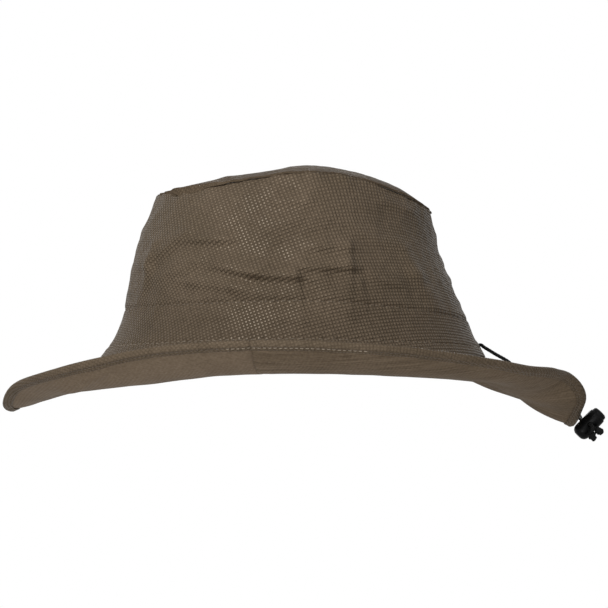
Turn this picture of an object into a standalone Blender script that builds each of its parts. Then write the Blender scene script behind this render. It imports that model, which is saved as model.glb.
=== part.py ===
"""A soft brimmed rain hat: crown panels, two-ply brim, band with a drawcord, and a cord lock.

Sizes are in millimetres and become metres when a mesh is made. The front of the hat
faces -X, its left side faces -Y, and the origin is the middle of the head opening.
"""

import math

import bmesh
import bpy
import numpy as np
from mathutils import Matrix, Vector

MM = 0.001

# Cloth: the plies, the gap that keeps touching pieces apart, and the seam tape
CROWN_CLOTH = 0.7
BRIM_PLY = 0.6
BAND_CLOTH = 0.6
TAPE = 0.4
STIFFENER = 0.7
GAP = 0.3
UNDER_CROWN = CROWN_CLOTH + GAP + 0.1

# Crown: reach of its outer face from the middle, at shares of its height
HEIGHT_SHARES = (0.0, 0.10, 0.25, 0.50, 0.75, 0.90, 1.0)
FRONT_REACH = (118.5, 111.5, 105.0, 100.5, 94.0, 88.0, 83.5)
BACK_REACH = (118.0, 112.7, 107.2, 98.4, 89.4, 86.4, 85.0)
SIDE_REACH = (97.0, 92.0, 88.0, 83.0, 76.5, 72.0, 68.0)
BASE_RISE_AT_SIDES = 3.5
TOP_SEAM_FRONT = 99.0
TOP_SEAM_BACK = 88.5
TOP_SEAM_SIDES = 110.0
TOP_SEAM_BOW_FRONT = 3.5
TOP_SEAM_BOW_BACK = 2.0
TIP_TOP = 116.5
CROWN_ROWS = (0.0, 0.12, 0.25, 0.40, 0.55, 0.70, 0.85, 0.985)
TIP_RINGS = (0.0, 0.12, 0.34, 0.66)

# Brim: its width, and the slope of its section in degrees, where it leaves the crown and at
# its edge, at turns from the back. Its two sides curl up and are alike
BRIM_WIDTH = 70.5
BRIM_INSET = 1.2
BRIM_BELOW_CROWN = CROWN_CLOTH - 0.05
BRIM_LIP = 0.9
SLOPE_TURNS = (0, 8, 15, 22, 30, 45, 60, 90, 110, 130, 145, 158, 168, 180)
ROOT_SLOPES = (-51, -55, -61, -67, -63, -49, -45, -44, -48, -57, -56, -55, -49, -42)
EDGE_SLOPES = (-20, -2, 17, 44, 43, 37, 42, 51, 53, 48, 34, 23, 2, -14)
BRIM_SEAM_RIGHT = 97.5
BRIM_SEAM_LEFT = 262.5
BRIM_ROWS = (0.0, 0.16, 0.32, 0.48, 0.64, 0.82)
BRIM_DEPTH = BRIM_PLY + GAP + STIFFENER + GAP + BRIM_PLY

# Drawcord, the eyelets it leaves by, and the band that forms its tunnel
CORD = 2.2
EYELET_TURNS = {"rear": 3.75, "side": 18.75}
EYELET_BORE = 4.6
EYELET_WALL = 0.4
EYELET_FLANGE = 1.8
EYELET_TAIL = 1.0
WASHER = 0.5
CORD_SHARE = 0.06
CORD_DEPTH = CROWN_CLOTH + EYELET_TAIL + GAP + CORD / 2 + 0.05
TUNNEL_DEPTH = CORD_DEPTH + CORD / 2 + GAP + 0.05
BAND_SHARES = (0.004, 0.035, 0.085, 0.15, 0.30)
BAND_DEPTHS = (UNDER_CROWN, TUNNEL_DEPTH, TUNNEL_DEPTH, UNDER_CROWN + 0.5, UNDER_CROWN)

# Cord lock: where its cord hole lies, the way of the cords, and the way of the button
HOLE = Vector((180.0, -26.5, -42.5))
ALONG_CORD = Vector((0.18, -0.97, -0.15)).normalized()
BUTTON_WAY = Vector((0.69, 0.06, 0.72))
BUTTON_WAY = (BUTTON_WAY - ALONG_CORD * BUTTON_WAY.dot(ALONG_CORD)).normalized()
BESIDE = BUTTON_WAY.cross(ALONG_CORD)

# Cord lock: sizes along the button from the middle of the cord hole, and radii
BUTTON_RADIUS = 4.7
BUTTON_TOP = 10.8
BUTTON_FOOT = -2.8
PRESS_TRAVEL = 2.5
LOCK_BORE = BUTTON_RADIUS + GAP
LOCK_WALL = 0.8
LOCK_RADIUS = LOCK_BORE + LOCK_WALL
LOCK_RIM = 7.9
LOCK_BASE = -9.6
LOCK_FLOOR = LOCK_BASE + 2.0
CORD_PAIR = CORD / 2 + 0.15
HOLE_HALF_WIDTH = CORD_PAIR + CORD / 2 + GAP
HOLE_HALF_HEIGHT = CORD / 2 + 0.4
WIRE = 0.6
COIL_RADIUS = BUTTON_RADIUS - 0.9
COIL_TURNS = 3.0
STRAIGHT_RUN = 14.5
STRAND_PAST_LOCK = {"rear": 3.0, "side": 0.6}

# Turns of the mesh rows, the same for every piece so that layers stay parallel
FACET = 7.5
RIGHT_TURNS = np.linspace(0.0, 180.0, 25)
LEFT_TURNS = np.linspace(180.0, 360.0, 25)
TURNS = np.concatenate([RIGHT_TURNS[:-1], LEFT_TURNS[:-1]])
FRONT_BRIM_TURNS = np.linspace(BRIM_SEAM_RIGHT, BRIM_SEAM_LEFT, 23)
BACK_BRIM_TURNS = np.linspace(BRIM_SEAM_LEFT, BRIM_SEAM_RIGHT + 360, 27)


def through(keys, values, at):
    """A smooth curve through the values at the keys."""
    keys = np.asarray(keys, float)
    values = np.asarray(values, float)
    at = np.asarray(at, float)
    slope = np.gradient(values, keys)
    i = np.clip(np.searchsorted(keys, at) - 1, 0, len(keys) - 2)
    step = keys[i + 1] - keys[i]
    t = (at - keys[i]) / step
    low = (2 * t**3 - 3 * t**2 + 1) * values[i] + (t**3 - 2 * t**2 + t) * step * slope[i]
    high = (3 * t**2 - 2 * t**3) * values[i + 1] + (t**3 - t**2) * step * slope[i + 1]
    return low + high


def crown_point(turn, share):
    """A point of the crown's outer face, at a turn from the back and a share of its height."""
    turn = np.radians(np.asarray(turn, float))
    share = np.asarray(share, float)
    front = through(HEIGHT_SHARES, FRONT_REACH, share)
    back = through(HEIGHT_SHARES, BACK_REACH, share)
    side = through(HEIGHT_SHARES, SIDE_REACH, share)
    c, s = np.cos(turn), np.sin(turn)
    end = np.where(c < 0, TOP_SEAM_FRONT, TOP_SEAM_BACK)
    bow = np.where(c < 0, TOP_SEAM_BOW_FRONT, TOP_SEAM_BOW_BACK)
    top = end + (TOP_SEAM_SIDES - end) * np.abs(s) ** bow
    low = BASE_RISE_AT_SIDES * s**2
    x = np.where(c < 0, front, back) * c
    return np.stack(np.broadcast_arrays(x, side * s, low + share * (top - low)), axis=-1)


def brim_slope(turn, slopes):
    """The slope of the brim's section at a turn, in radians, the same on both sides."""
    turns = np.array(SLOPE_TURNS, float)
    slopes = np.radians(np.array(slopes, float))
    turns = np.concatenate([-turns[2:0:-1], turns, 360 - turns[-2:-4:-1]])
    slopes = np.concatenate([slopes[2:0:-1], slopes, slopes[-2:-4:-1]])
    return through(turns, slopes, 180 - np.abs(180 - np.asarray(turn, float) % 360))


def brim_point(turn, share):
    """A point of the brim's upper face, from its inner edge at share 0 to its outer edge at 1.

    The section is an arc, whose slope goes evenly from that at the crown to that at the edge.
    """
    angle = np.radians(np.asarray(turn, float))
    share = np.asarray(share, float)
    c, s = np.cos(angle), np.sin(angle)
    first = brim_slope(turn, ROOT_SLOPES)
    bend = brim_slope(turn, EDGE_SLOPES) - first
    bend = np.where(np.abs(bend) < 1e-4, 1e-4, bend)
    here = first + bend * share
    out = BRIM_WIDTH * (np.sin(here) - np.sin(first)) / bend - BRIM_INSET
    up = BRIM_WIDTH * (np.cos(first) - np.cos(here)) / bend - BRIM_BELOW_CROWN
    root = crown_point(turn, 0.0)
    x = (np.where(c < 0, FRONT_REACH[0], BACK_REACH[0]) + out) * c
    y = (SIDE_REACH[0] + out) * s
    return np.stack(np.broadcast_arrays(x, y, root[..., 2] + up), axis=-1)


def outward(surface, turn, share, flip=1.0):
    """The unit normal of a surface, from small steps along it."""
    a = surface(np.asarray(turn) + 0.4, share) - surface(np.asarray(turn) - 0.4, share)
    b = surface(turn, np.asarray(share) + 0.002) - surface(turn, np.asarray(share) - 0.002)
    n = np.cross(a, b) * flip
    return n / np.linalg.norm(n, axis=-1, keepdims=True)


def crown_layer(turns, shares, depths):
    """A grid of points at the given depths under the crown's outer face."""
    turn, share = np.meshgrid(turns, shares, indexing="ij")
    depth = np.broadcast_to(np.asarray(depths, float), share.shape)
    return crown_point(turn, share) - outward(crown_point, turn, share) * depth[..., None]


def brim_layer(turns, shares, depths):
    """A grid of points at the given depths under the brim's upper face."""
    turn, share = np.meshgrid(turns, shares, indexing="ij")
    depth = np.broadcast_to(np.asarray(depths, float), share.shape)
    return brim_point(turn, share) - outward(brim_point, turn, share, -1.0) * depth[..., None]


def plain_material(name, colour, roughness, metallic=0.0):
    material = bpy.data.materials.new(name)
    material.use_nodes = True
    shader = material.node_tree.nodes["Principled BSDF"]
    shader.inputs["Base Color"].default_value = (*colour, 1.0)
    shader.inputs["Roughness"].default_value = roughness
    shader.inputs["Metallic"].default_value = metallic
    return material


def add_object(name, mesh, material):
    obj = bpy.data.objects.new(name, mesh)
    obj.data.materials.append(material)
    bpy.context.scene.collection.objects.link(obj)
    return obj


def mesh_of(name, points, faces):
    mesh = bpy.data.meshes.new(name)
    mesh.from_pydata([tuple(p * MM) for p in points], [], faces)
    work = bmesh.new()
    work.from_mesh(mesh)
    bmesh.ops.recalc_face_normals(work, faces=work.faces)
    work.to_mesh(mesh)
    work.free()
    return mesh


def cloth_sheet(name, outer, inner, material, loop=False):
    """A closed sheet between two grids of points. A loop joins its last row to its first."""
    rows, columns = outer.shape[:2]
    points = np.concatenate([outer.reshape(-1, 3), inner.reshape(-1, 3)])
    half = rows * columns
    faces = []
    spans = rows if loop else rows - 1
    for i in range(spans):
        j = (i + 1) % rows
        for k in range(columns - 1):
            a, b = i * columns + k, j * columns + k
            for face in ((a, b, b + 1), (a, b + 1, a + 1)):
                faces.append(face)
                faces.append(tuple(half + p for p in reversed(face)))
        for k in (0, columns - 1):
            a, b = i * columns + k, j * columns + k
            faces.append((a, b, half + b, half + a))
    if not loop:
        for i in (0, rows - 1):
            for k in range(columns - 1):
                a, b = i * columns + k, i * columns + k + 1
                faces.append((a, b, half + b, half + a))
    return add_object(name, mesh_of(name, points, faces), material)


def trimmed(grid, gap):
    """The grid with its first and last row drawn in by a gap, to leave a seam open."""
    grid = grid.copy()
    for end, near in ((0, 1), (-1, -2)):
        way = grid[near] - grid[end]
        length = np.linalg.norm(way, axis=-1, keepdims=True)
        grid[end] = grid[end] + way / length * gap
    return grid


def turned(name, profile, sides, material, place=None):
    """A solid turned about Z from a closed profile of (radius, height) pairs."""
    rings = []
    points = []
    for radius, height in profile:
        if radius < 1e-6:
            rings.append([len(points)] * sides)
            points.append(np.array((0.0, 0.0, height)))
            continue
        rings.append(list(range(len(points), len(points) + sides)))
        for i in range(sides):
            angle = 2 * math.pi * i / sides
            points.append(np.array((radius * math.cos(angle), radius * math.sin(angle), height)))
    faces = []
    for a, b in zip(rings, rings[1:] + rings[:1]):
        for i in range(sides):
            j = (i + 1) % sides
            quad = list(dict.fromkeys((a[i], a[j], b[j], b[i])))
            if len(quad) > 2:
                faces.append(quad)
    obj = add_object(name, mesh_of(name, points, faces), material)
    if place is not None:
        obj.matrix_world = place
    return obj


def placed(middle, z_way, x_way):
    """A matrix that stands a turned solid at a middle, with its Z and X along given ways."""
    z_way = Vector(z_way).normalized()
    x_way = (Vector(x_way) - z_way * z_way.dot(Vector(x_way))).normalized()
    y_way = z_way.cross(x_way)
    turn = Matrix((x_way, y_way, z_way)).transposed().to_4x4()
    return Matrix.Translation(Vector(middle) * MM) @ turn


def cut(obj, cutter):
    cutter.hide_render = True
    cutter.display_type = "WIRE"
    modifier = obj.modifiers.new("cut", "BOOLEAN")
    modifier.operation = "DIFFERENCE"
    modifier.solver = "EXACT"
    modifier.object = cutter


def join(obj, other):
    other.hide_render = True
    other.display_type = "WIRE"
    modifier = obj.modifiers.new("join", "BOOLEAN")
    modifier.operation = "UNION"
    modifier.solver = "EXACT"
    modifier.object = other


def rounded_route(points, step):
    """Points about a step apart on a smooth curve through the route points."""
    points = np.array([tuple(p) for p in points], float)
    along = np.concatenate([[0.0], np.cumsum(np.linalg.norm(np.diff(points, axis=0), axis=1))])
    at = np.linspace(0.0, along[-1], max(2, round(along[-1] / step) + 1))
    return np.stack([through(along, points[:, k], at) for k in range(3)], axis=1)


def cord_tube(name, points, thickness, material, resolution=2):
    curve = bpy.data.curves.new(name, "CURVE")
    curve.dimensions = "3D"
    curve.bevel_depth = thickness / 2 * MM
    curve.bevel_resolution = resolution
    curve.use_fill_caps = True
    spline = curve.splines.new("POLY")
    spline.points.add(len(points) - 1)
    for point, co in zip(spline.points, points):
        point.co = (*(np.asarray(co) * MM), 1.0)
    curve.materials.append(material)
    obj = bpy.data.objects.new(name, curve)
    bpy.context.scene.collection.objects.link(obj)
    return obj


for old in list(bpy.data.objects):
    bpy.data.objects.remove(old)

shell_cloth = plain_material("shell_cloth", (0.125, 0.092, 0.066), 0.8)
under_cloth = plain_material("under_cloth", (0.105, 0.078, 0.056), 0.85)
band_cloth = plain_material("band_cloth", (0.045, 0.042, 0.040), 0.9)
tape_cloth = plain_material("tape_cloth", (0.20, 0.19, 0.18), 0.6)
foam_sheet = plain_material("foam_sheet", (0.55, 0.55, 0.53), 0.9)
black_cord = plain_material("black_cord", (0.012, 0.012, 0.012), 0.7)
black_plastic = plain_material("black_plastic", (0.010, 0.010, 0.011), 0.4)
black_brass = plain_material("black_brass", (0.030, 0.028, 0.026), 0.45, 1.0)
spring_steel = plain_material("spring_steel", (0.55, 0.55, 0.56), 0.3, 1.0)

# Crown sides, two panels sewn at the front and at the back
for name, turns in (("crown_side_right", RIGHT_TURNS), ("crown_side_left", LEFT_TURNS)):
    cloth_sheet(
        name,
        trimmed(crown_layer(turns, CROWN_ROWS, 0.0), GAP / 2),
        trimmed(crown_layer(turns, CROWN_ROWS, CROWN_CLOTH), GAP / 2),
        shell_cloth,
    )


def tip_point(turn, inward):
    """A point of the crown tip, from the top seam at inward 0 to its middle at 1."""
    rim = crown_point(turn, 1.0)
    power = 2.0 + 0.9 * np.cos(np.radians(turn))
    rise = 1 - (1 - np.asarray(inward)) ** power
    z = rim[..., 2] + (TIP_TOP - rim[..., 2]) * rise
    middle = 1 - np.asarray(inward)
    return np.stack(np.broadcast_arrays(rim[..., 0] * middle, rim[..., 1] * middle, z), axis=-1)


# Crown tip, one oval of cloth that closes the top
tip_outer = [tip_point(TURNS, inward) for inward in TIP_RINGS]
tip_points = [p for ring in tip_outer for p in ring] + [np.array((0.0, 0.0, TIP_TOP))]
under_tip = [p - np.array((0.0, 0.0, CROWN_CLOTH)) for p in tip_points]
tip_faces = []
count = len(TURNS)
last = (len(TIP_RINGS) - 1) * count
for i in range(count):
    j = (i + 1) % count
    for r in range(len(TIP_RINGS) - 1):
        tip_faces.append((r * count + i, r * count + j, (r + 1) * count + j, (r + 1) * count + i))
    tip_faces.append((last + i, last + j, len(tip_points) - 1))
lower_faces = [tuple(len(tip_points) + p for p in reversed(f)) for f in tip_faces]
rim_faces = [
    (i, len(tip_points) + i, len(tip_points) + (i + 1) % count, (i + 1) % count)
    for i in range(count)
]
tip_mesh = mesh_of("crown_tip", tip_points + under_tip, tip_faces + lower_faces + rim_faces)
add_object("crown_tip", tip_mesh, shell_cloth)

# Tapes that cover the crown's seams on the inside
TAPE_ROWS = (0.34, 0.40, 0.55, 0.70, 0.85, 0.88)
TIP_TAPE_ROWS = (0.90, 0.965)
TAPE_WIDTH_IN_FACETS = 0.75
for name, middle in (("back_seam_tape", 0.0), ("front_seam_tape", 180.0)):
    tape_turns = (middle - FACET, middle, middle + FACET)
    wide_outer = crown_layer(tape_turns, TAPE_ROWS, UNDER_CROWN)
    wide_inner = crown_layer(tape_turns, TAPE_ROWS, UNDER_CROWN + TAPE)
    for grid in (wide_outer, wide_inner):
        for end in (0, 2):
            grid[end] = grid[1] + (grid[end] - grid[1]) * TAPE_WIDTH_IN_FACETS
    cloth_sheet(name, wide_outer, wide_inner, tape_cloth)
cloth_sheet(
    "tip_seam_tape",
    crown_layer(TURNS, TIP_TAPE_ROWS, UNDER_CROWN),
    crown_layer(TURNS, TIP_TAPE_ROWS, UNDER_CROWN + TAPE),
    tape_cloth,
    loop=True,
)

# Brim plies. The upper ply turns round the edge, and the lower one meets it underneath
LIP = BRIM_LIP / BRIM_WIDTH
upper_shares = BRIM_ROWS + (1.0, 1 + LIP, 1 + LIP, 1.0)
upper_outer = (0.0,) * (len(BRIM_ROWS) + 1) + (0.3 * BRIM_DEPTH, 0.7 * BRIM_DEPTH, BRIM_DEPTH)
inner_shares = BRIM_ROWS + (1.0, 1 + LIP / 3, 1 + LIP / 3, 1.0)
upper_inner = (BRIM_PLY,) * (len(BRIM_ROWS) + 1)
upper_inner += (0.4 * BRIM_DEPTH, 0.6 * BRIM_DEPTH, BRIM_DEPTH - BRIM_PLY)
lower_shares = BRIM_ROWS + (1 - LIP / 2,)
stiff_shares = BRIM_ROWS + (1 - LIP,)
for name, turns in (("front", FRONT_BRIM_TURNS), ("back", BACK_BRIM_TURNS)):
    cloth_sheet(
        "brim_top_" + name,
        trimmed(brim_layer(turns, upper_shares, upper_outer), GAP / 2),
        trimmed(brim_layer(turns, inner_shares, upper_inner), GAP / 2),
        shell_cloth,
    )
    cloth_sheet(
        "brim_under_" + name,
        trimmed(brim_layer(turns, lower_shares, BRIM_DEPTH - BRIM_PLY), GAP / 2),
        trimmed(brim_layer(turns, lower_shares, BRIM_DEPTH), GAP / 2),
        under_cloth,
    )
stiffener_turns = np.concatenate([FRONT_BRIM_TURNS[:-1], BACK_BRIM_TURNS[:-1]])
cloth_sheet(
    "brim_stiffener",
    brim_layer(stiffener_turns, stiff_shares, BRIM_PLY + GAP),
    brim_layer(stiffener_turns, stiff_shares, BRIM_PLY + GAP + STIFFENER),
    foam_sheet,
    loop=True,
)

# Sweatband, sewn inside the crown along both edges so that it forms the cord's tunnel
band_depths = np.array(BAND_DEPTHS)
cloth_sheet(
    "sweatband",
    crown_layer(TURNS, BAND_SHARES, band_depths),
    crown_layer(TURNS, BAND_SHARES, band_depths + BAND_CLOTH),
    band_cloth,
    loop=True,
)


def eyelet_frame(turn, way):
    """The middle, normal and cord direction on the flat facet that holds an eyelet."""
    facet = (turn - FACET / 2, turn + FACET / 2)
    corners = crown_layer(facet, CROWN_ROWS[:2], 0.0)
    a, b, c, d = corners[0, 0], corners[1, 0], corners[1, 1], corners[0, 1]
    normal = np.cross(c - a, d - b)
    normal = normal / np.linalg.norm(normal)
    middle = (a + b + c + d) / 4
    along = crown_point(turn + way, CORD_SHARE) - crown_point(turn, CORD_SHARE)
    along = along - normal * np.dot(along, normal)
    return middle, normal, along / np.linalg.norm(along)


# Eyelets through the right crown panel, each with a washer inside
EYELETS = {
    "rear": eyelet_frame(EYELET_TURNS["rear"], 1.0),
    "side": eyelet_frame(EYELET_TURNS["side"], -1.0),
}
crown_right = bpy.data.objects["crown_side_right"]
bore = EYELET_BORE / 2
tube = bore + EYELET_WALL
flange = tube + EYELET_FLANGE
washer_top = -CROWN_CLOTH - GAP - 0.15
washer_low = washer_top - WASHER
eyelet_low = -CROWN_CLOTH - EYELET_TAIL
eyelet_profile = (
    (bore, eyelet_low),
    (tube, eyelet_low),
    (tube, GAP),
    (flange, GAP),
    (flange - 0.5, GAP + 0.6),
    (bore + 0.4, GAP + 0.7),
    (bore, GAP + 0.3),
)
washer_profile = (
    (tube + GAP, washer_low),
    (flange, washer_low),
    (flange, washer_top),
    (tube + GAP, washer_top),
)
punch_profile = ((0, 4), (0, -4), (tube + GAP, -4), (tube + GAP, 4))
for name, (middle, normal, along) in EYELETS.items():
    place = placed(middle, normal, along)
    cut(crown_right, turned("eyelet_punch_" + name, punch_profile, 20, shell_cloth, place))
    turned("eyelet_" + name, eyelet_profile, 20, black_brass, place)
    turned("eyelet_washer_" + name, washer_profile, 20, black_brass, place)

# Drawcord: the stretch inside the tunnel, round the whole head
TUNNEL_END = 3.0
tunnel_first = EYELET_TURNS["side"] + TUNNEL_END
tunnel_last = EYELET_TURNS["rear"] + 360 - TUNNEL_END
tunnel_turns = np.linspace(tunnel_first, tunnel_last, 70)
tunnel = crown_layer(tunnel_turns, (CORD_SHARE,), CORD_DEPTH)[:, 0]
cord_tube("drawcord_in_band", tunnel, CORD, black_cord)


def eyelet_bend(name):
    """The cord's quarter turn out of the tunnel and through an eyelet."""
    middle, normal, along = EYELETS[name]
    points = [middle - normal * CORD_DEPTH - along * 4.2]
    for angle in (0, 22, 45, 68, 90):
        a = math.radians(angle)
        t = CORD_DEPTH * (math.sin(a) - 1)
        n = -CORD_DEPTH * math.cos(a)
        points.append(middle + along * t + normal * n)
    points.append(middle + normal * 2.0)
    return points


def on_brim(turn, share, lift):
    return brim_point(turn, share) + outward(brim_point, turn, share, -1.0) * lift


# The cord's two free stretches. Each lies on the brim at these turns, shares of its width
# and lifts over it, then goes over the brim's edge and falls to the lock
ON_BRIM = {
    "rear": (
        (3.6, 0.07, 7.8),
        (3.2, 0.22, 10.5),
        (2.6, 0.45, 7.6),
        (2.0, 0.70, 4.8),
        (1.6, 0.96, 3.4),
    ),
    "side": (
        (17.5, 0.16, 5.6),
        (13.5, 0.33, 4.6),
        (9.5, 0.54, 4.0),
        (6.2, 0.78, 3.8),
        (4.4, 0.96, 3.8),
    ),
}
OVER_EDGE = {
    "rear": ((174.9, 2.0, -37.4), (176.2, -4.0, -38.6)),
    "side": ((177.0, 5.5, -36.8), (178.2, -2.0, -40.0)),
}
ASIDE = {"rear": -CORD_PAIR, "side": CORD_PAIR}
hole_middle = np.array(HOLE)
along_cord = np.array(ALONG_CORD)
button_way = np.array(BUTTON_WAY)
beside = np.array(BESIDE)
for name in ("rear", "side"):
    start = hole_middle - along_cord * STRAIGHT_RUN + beside * ASIDE[name]
    bend = eyelet_bend(name)
    route = [bend[-1]] + [on_brim(*spot) for spot in ON_BRIM[name]]
    route += [np.array(spot) for spot in OVER_EDGE[name]]
    route += [start, start + along_cord * 4.0]
    free = rounded_route(route, 2.2 * CORD)
    strand_end = STRAIGHT_RUN + LOCK_RADIUS + STRAND_PAST_LOCK[name]
    straight = [start + along_cord * t for t in np.linspace(9.0, strand_end, 5)]
    cord_tube("drawcord_" + name + "_end", bend[:-1] + list(free) + straight, CORD, black_cord)

# Knots that keep the lock on the cord ends, each a ball with a neck and a short tail
KNOT_MIDDLES = {
    "rear": along_cord * (LOCK_RADIUS + 4.6) + beside * 6.2 - button_way * 3.0,
    "side": along_cord * (LOCK_RADIUS + 2.4) + beside * 7.4 + button_way * 2.5,
}
KNOT_RADII = {"rear": (2.9, 2.6, 2.5), "side": (2.9, 2.6, 2.5)}
NECK_PAST_STRAND = 1.3
TAIL_WAYS = {
    "rear": along_cord * 0.6 + beside * 0.5 + button_way * 0.3,
    "side": along_cord * 0.6 + beside * 0.6 - button_way * 0.2,
}
neck_radius = CORD / 2 - 0.05
tail_profile = ((0, 0), (CORD / 2, 0), (CORD / 2, 3.2), (CORD / 2 - 0.35, 3.6), (0, 3.6))
for name in ("rear", "side"):
    middle = hole_middle + KNOT_MIDDLES[name]
    ball = bmesh.new()
    bmesh.ops.create_uvsphere(ball, u_segments=14, v_segments=8, radius=1.0)
    bmesh.ops.scale(ball, vec=Vector(KNOT_RADII[name]) * MM, verts=ball.verts)
    bmesh.ops.transform(ball, matrix=placed(middle, beside, along_cord), verts=ball.verts)
    mesh = bpy.data.meshes.new("cord_knot_" + name)
    ball.to_mesh(mesh)
    ball.free()
    knot = add_object("cord_knot_" + name, mesh, black_cord)
    neck_start = LOCK_RADIUS + STRAND_PAST_LOCK[name] + NECK_PAST_STRAND
    mouth = hole_middle + along_cord * neck_start + beside * ASIDE[name]
    reach = np.linalg.norm(middle - mouth)
    neck_profile = ((0, 0), (neck_radius, 0), (neck_radius, reach), (0, reach))
    neck_place = placed(mouth, middle - mouth, button_way)
    join(knot, turned("neck_" + name, neck_profile, 10, black_cord, neck_place))
    tail_place = placed(middle, TAIL_WAYS[name], button_way + along_cord * 0.3)
    join(knot, turned("tail_" + name, tail_profile, 10, black_cord, tail_place))

# Cord lock, with its Z along the button and its X along the cords
lock_place = placed(HOLE, BUTTON_WAY, ALONG_CORD)


def stadium(name, low, high, half_length):
    """A bar along X with round edges, to cut the cord hole."""
    rim = []
    radius = min(0.45 * (high - low), 1.6)
    for y, z, first in ((1, 1, 0), (-1, 1, 90), (-1, -1, 180), (1, -1, 270)):
        middle_y = y * (HOLE_HALF_WIDTH - radius)
        middle_z = high - radius if z > 0 else low + radius
        for step in range(5):
            a = math.radians(first + step * 22.5)
            rim.append((middle_y + radius * math.cos(a), middle_z + radius * math.sin(a)))
    points = [np.array((x, y, z)) for x in (-half_length, half_length) for y, z in rim]
    n = len(rim)
    faces = [tuple(range(n)), tuple(range(2 * n - 1, n - 1, -1))]
    faces += [(i, n + i, n + (i + 1) % n, (i + 1) % n) for i in range(n)]
    obj = add_object(name, mesh_of(name, points, faces), black_plastic)
    obj.matrix_world = lock_place
    return obj


barrel_profile = (
    (0, LOCK_BASE),
    (LOCK_RADIUS - 3.4, LOCK_BASE + 0.1),
    (LOCK_RADIUS - 1.7, LOCK_BASE + 0.9),
    (LOCK_RADIUS - 0.5, LOCK_BASE + 2.4),
    (LOCK_RADIUS, LOCK_BASE + 4.0),
    (LOCK_RADIUS, LOCK_RIM - 1.5),
    (LOCK_RADIUS - 0.2 * LOCK_WALL, LOCK_RIM - 0.5),
    (LOCK_RADIUS - 0.6 * LOCK_WALL, LOCK_RIM),
    (LOCK_BORE + 0.1, LOCK_RIM),
    (LOCK_BORE, LOCK_RIM - 0.3),
    (LOCK_BORE, LOCK_FLOOR),
    (0, LOCK_FLOOR),
)
barrel = turned("lock_barrel", barrel_profile, 24, black_plastic, lock_place)
cut(barrel, stadium("barrel_hole", -HOLE_HALF_HEIGHT, HOLE_HALF_HEIGHT, LOCK_RADIUS + 5.0))
plunger_profile = (
    (0, BUTTON_FOOT),
    (BUTTON_RADIUS, BUTTON_FOOT),
    (BUTTON_RADIUS, BUTTON_TOP - 2.0),
    (BUTTON_RADIUS - 0.5, BUTTON_TOP - 0.9),
    (BUTTON_RADIUS - 1.8, BUTTON_TOP - 0.25),
    (0, BUTTON_TOP),
)
plunger = turned("lock_plunger", plunger_profile, 24, black_plastic, lock_place)
plunger_hole_low = -CORD / 2 - GAP - 0.05
plunger_hole_high = HOLE_HALF_HEIGHT + PRESS_TRAVEL
cut(plunger, stadium("plunger_hole", plunger_hole_low, plunger_hole_high, BUTTON_RADIUS + 2.0))

# Spring under the button, one open coil
coil_low = LOCK_FLOOR + WIRE / 2 + GAP
coil_high = BUTTON_FOOT - WIRE / 2 - GAP
coil_at = np.linspace(0.0, 1.0, 31)
coil_angle = 2 * math.pi * COIL_TURNS * coil_at
coil = np.stack(
    [
        COIL_RADIUS * np.cos(coil_angle),
        COIL_RADIUS * np.sin(coil_angle),
        coil_low + (coil_high - coil_low) * coil_at,
    ],
    axis=1,
)
spring = cord_tube("lock_spring", coil, WIRE, spring_steel, 1)
spring.matrix_world = lock_place
spacing = np.linalg.norm(coil[:, None] - coil[None], axis=2)
far_apart = np.abs(coil_angle[:, None] - coil_angle[None]) > math.pi
print("least gap of the spring to itself, mm:", round(float(spacing[far_apart].min()) - WIRE, 3))
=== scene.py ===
"""A soft brimmed rain hat with a drawcord and a cord lock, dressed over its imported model."""

import math

import bmesh
import bpy
import numpy as np
from mathutils import Matrix, Vector, noise


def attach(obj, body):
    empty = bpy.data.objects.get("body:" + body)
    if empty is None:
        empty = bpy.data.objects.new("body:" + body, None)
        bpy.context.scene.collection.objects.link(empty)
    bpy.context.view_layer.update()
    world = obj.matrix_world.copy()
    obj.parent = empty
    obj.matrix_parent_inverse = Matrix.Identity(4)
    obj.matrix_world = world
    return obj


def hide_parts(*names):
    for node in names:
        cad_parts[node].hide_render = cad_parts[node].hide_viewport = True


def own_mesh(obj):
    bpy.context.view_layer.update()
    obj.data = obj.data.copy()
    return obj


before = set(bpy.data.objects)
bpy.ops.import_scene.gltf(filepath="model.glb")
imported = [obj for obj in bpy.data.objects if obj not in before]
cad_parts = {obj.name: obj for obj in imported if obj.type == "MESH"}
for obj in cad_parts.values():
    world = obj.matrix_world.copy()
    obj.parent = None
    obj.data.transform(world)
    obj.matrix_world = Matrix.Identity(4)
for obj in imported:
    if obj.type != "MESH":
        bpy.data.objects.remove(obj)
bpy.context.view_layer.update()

# Camera and light. The hat is seen from its left side, from just under the brim and far away.
# A small lamp stands high to the camera's left, a wide weak one is just below the camera and
# another on the far side. The pale floor lies well under the hat, and is clear from below.
LAMP_AIM = Vector((0.0, 0.0, 0.03))
ROOM_LIGHT = 0.18
FLOOR_RADIUS = 0.95
FLOOR_HEIGHT = -0.26
WHITE = (1.0, 1.0, 1.0, 1.0)

camera = bpy.data.objects.new("camera", bpy.data.cameras.new("camera"))
camera.location = (0.0065, -1.6, -0.012)
camera.rotation_euler = (math.radians(91.561), 0.0, 0.0)
camera.data.lens = 152.8
camera.data.sensor_width = 36.0
bpy.context.scene.collection.objects.link(camera)
bpy.context.scene.camera = camera
bpy.context.scene.view_settings.view_transform = "Standard"


def soft_lamp(name, place, size, power):
    """A square lamp that faces the middle of the hat."""
    lamp = bpy.data.objects.new(name, bpy.data.lights.new(name, "AREA"))
    lamp.data.size = size
    lamp.data.energy = power
    lamp.location = place
    lamp.rotation_euler = (LAMP_AIM - lamp.location).to_track_quat("-Z", "Y").to_euler()
    bpy.context.scene.collection.objects.link(lamp)


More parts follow.
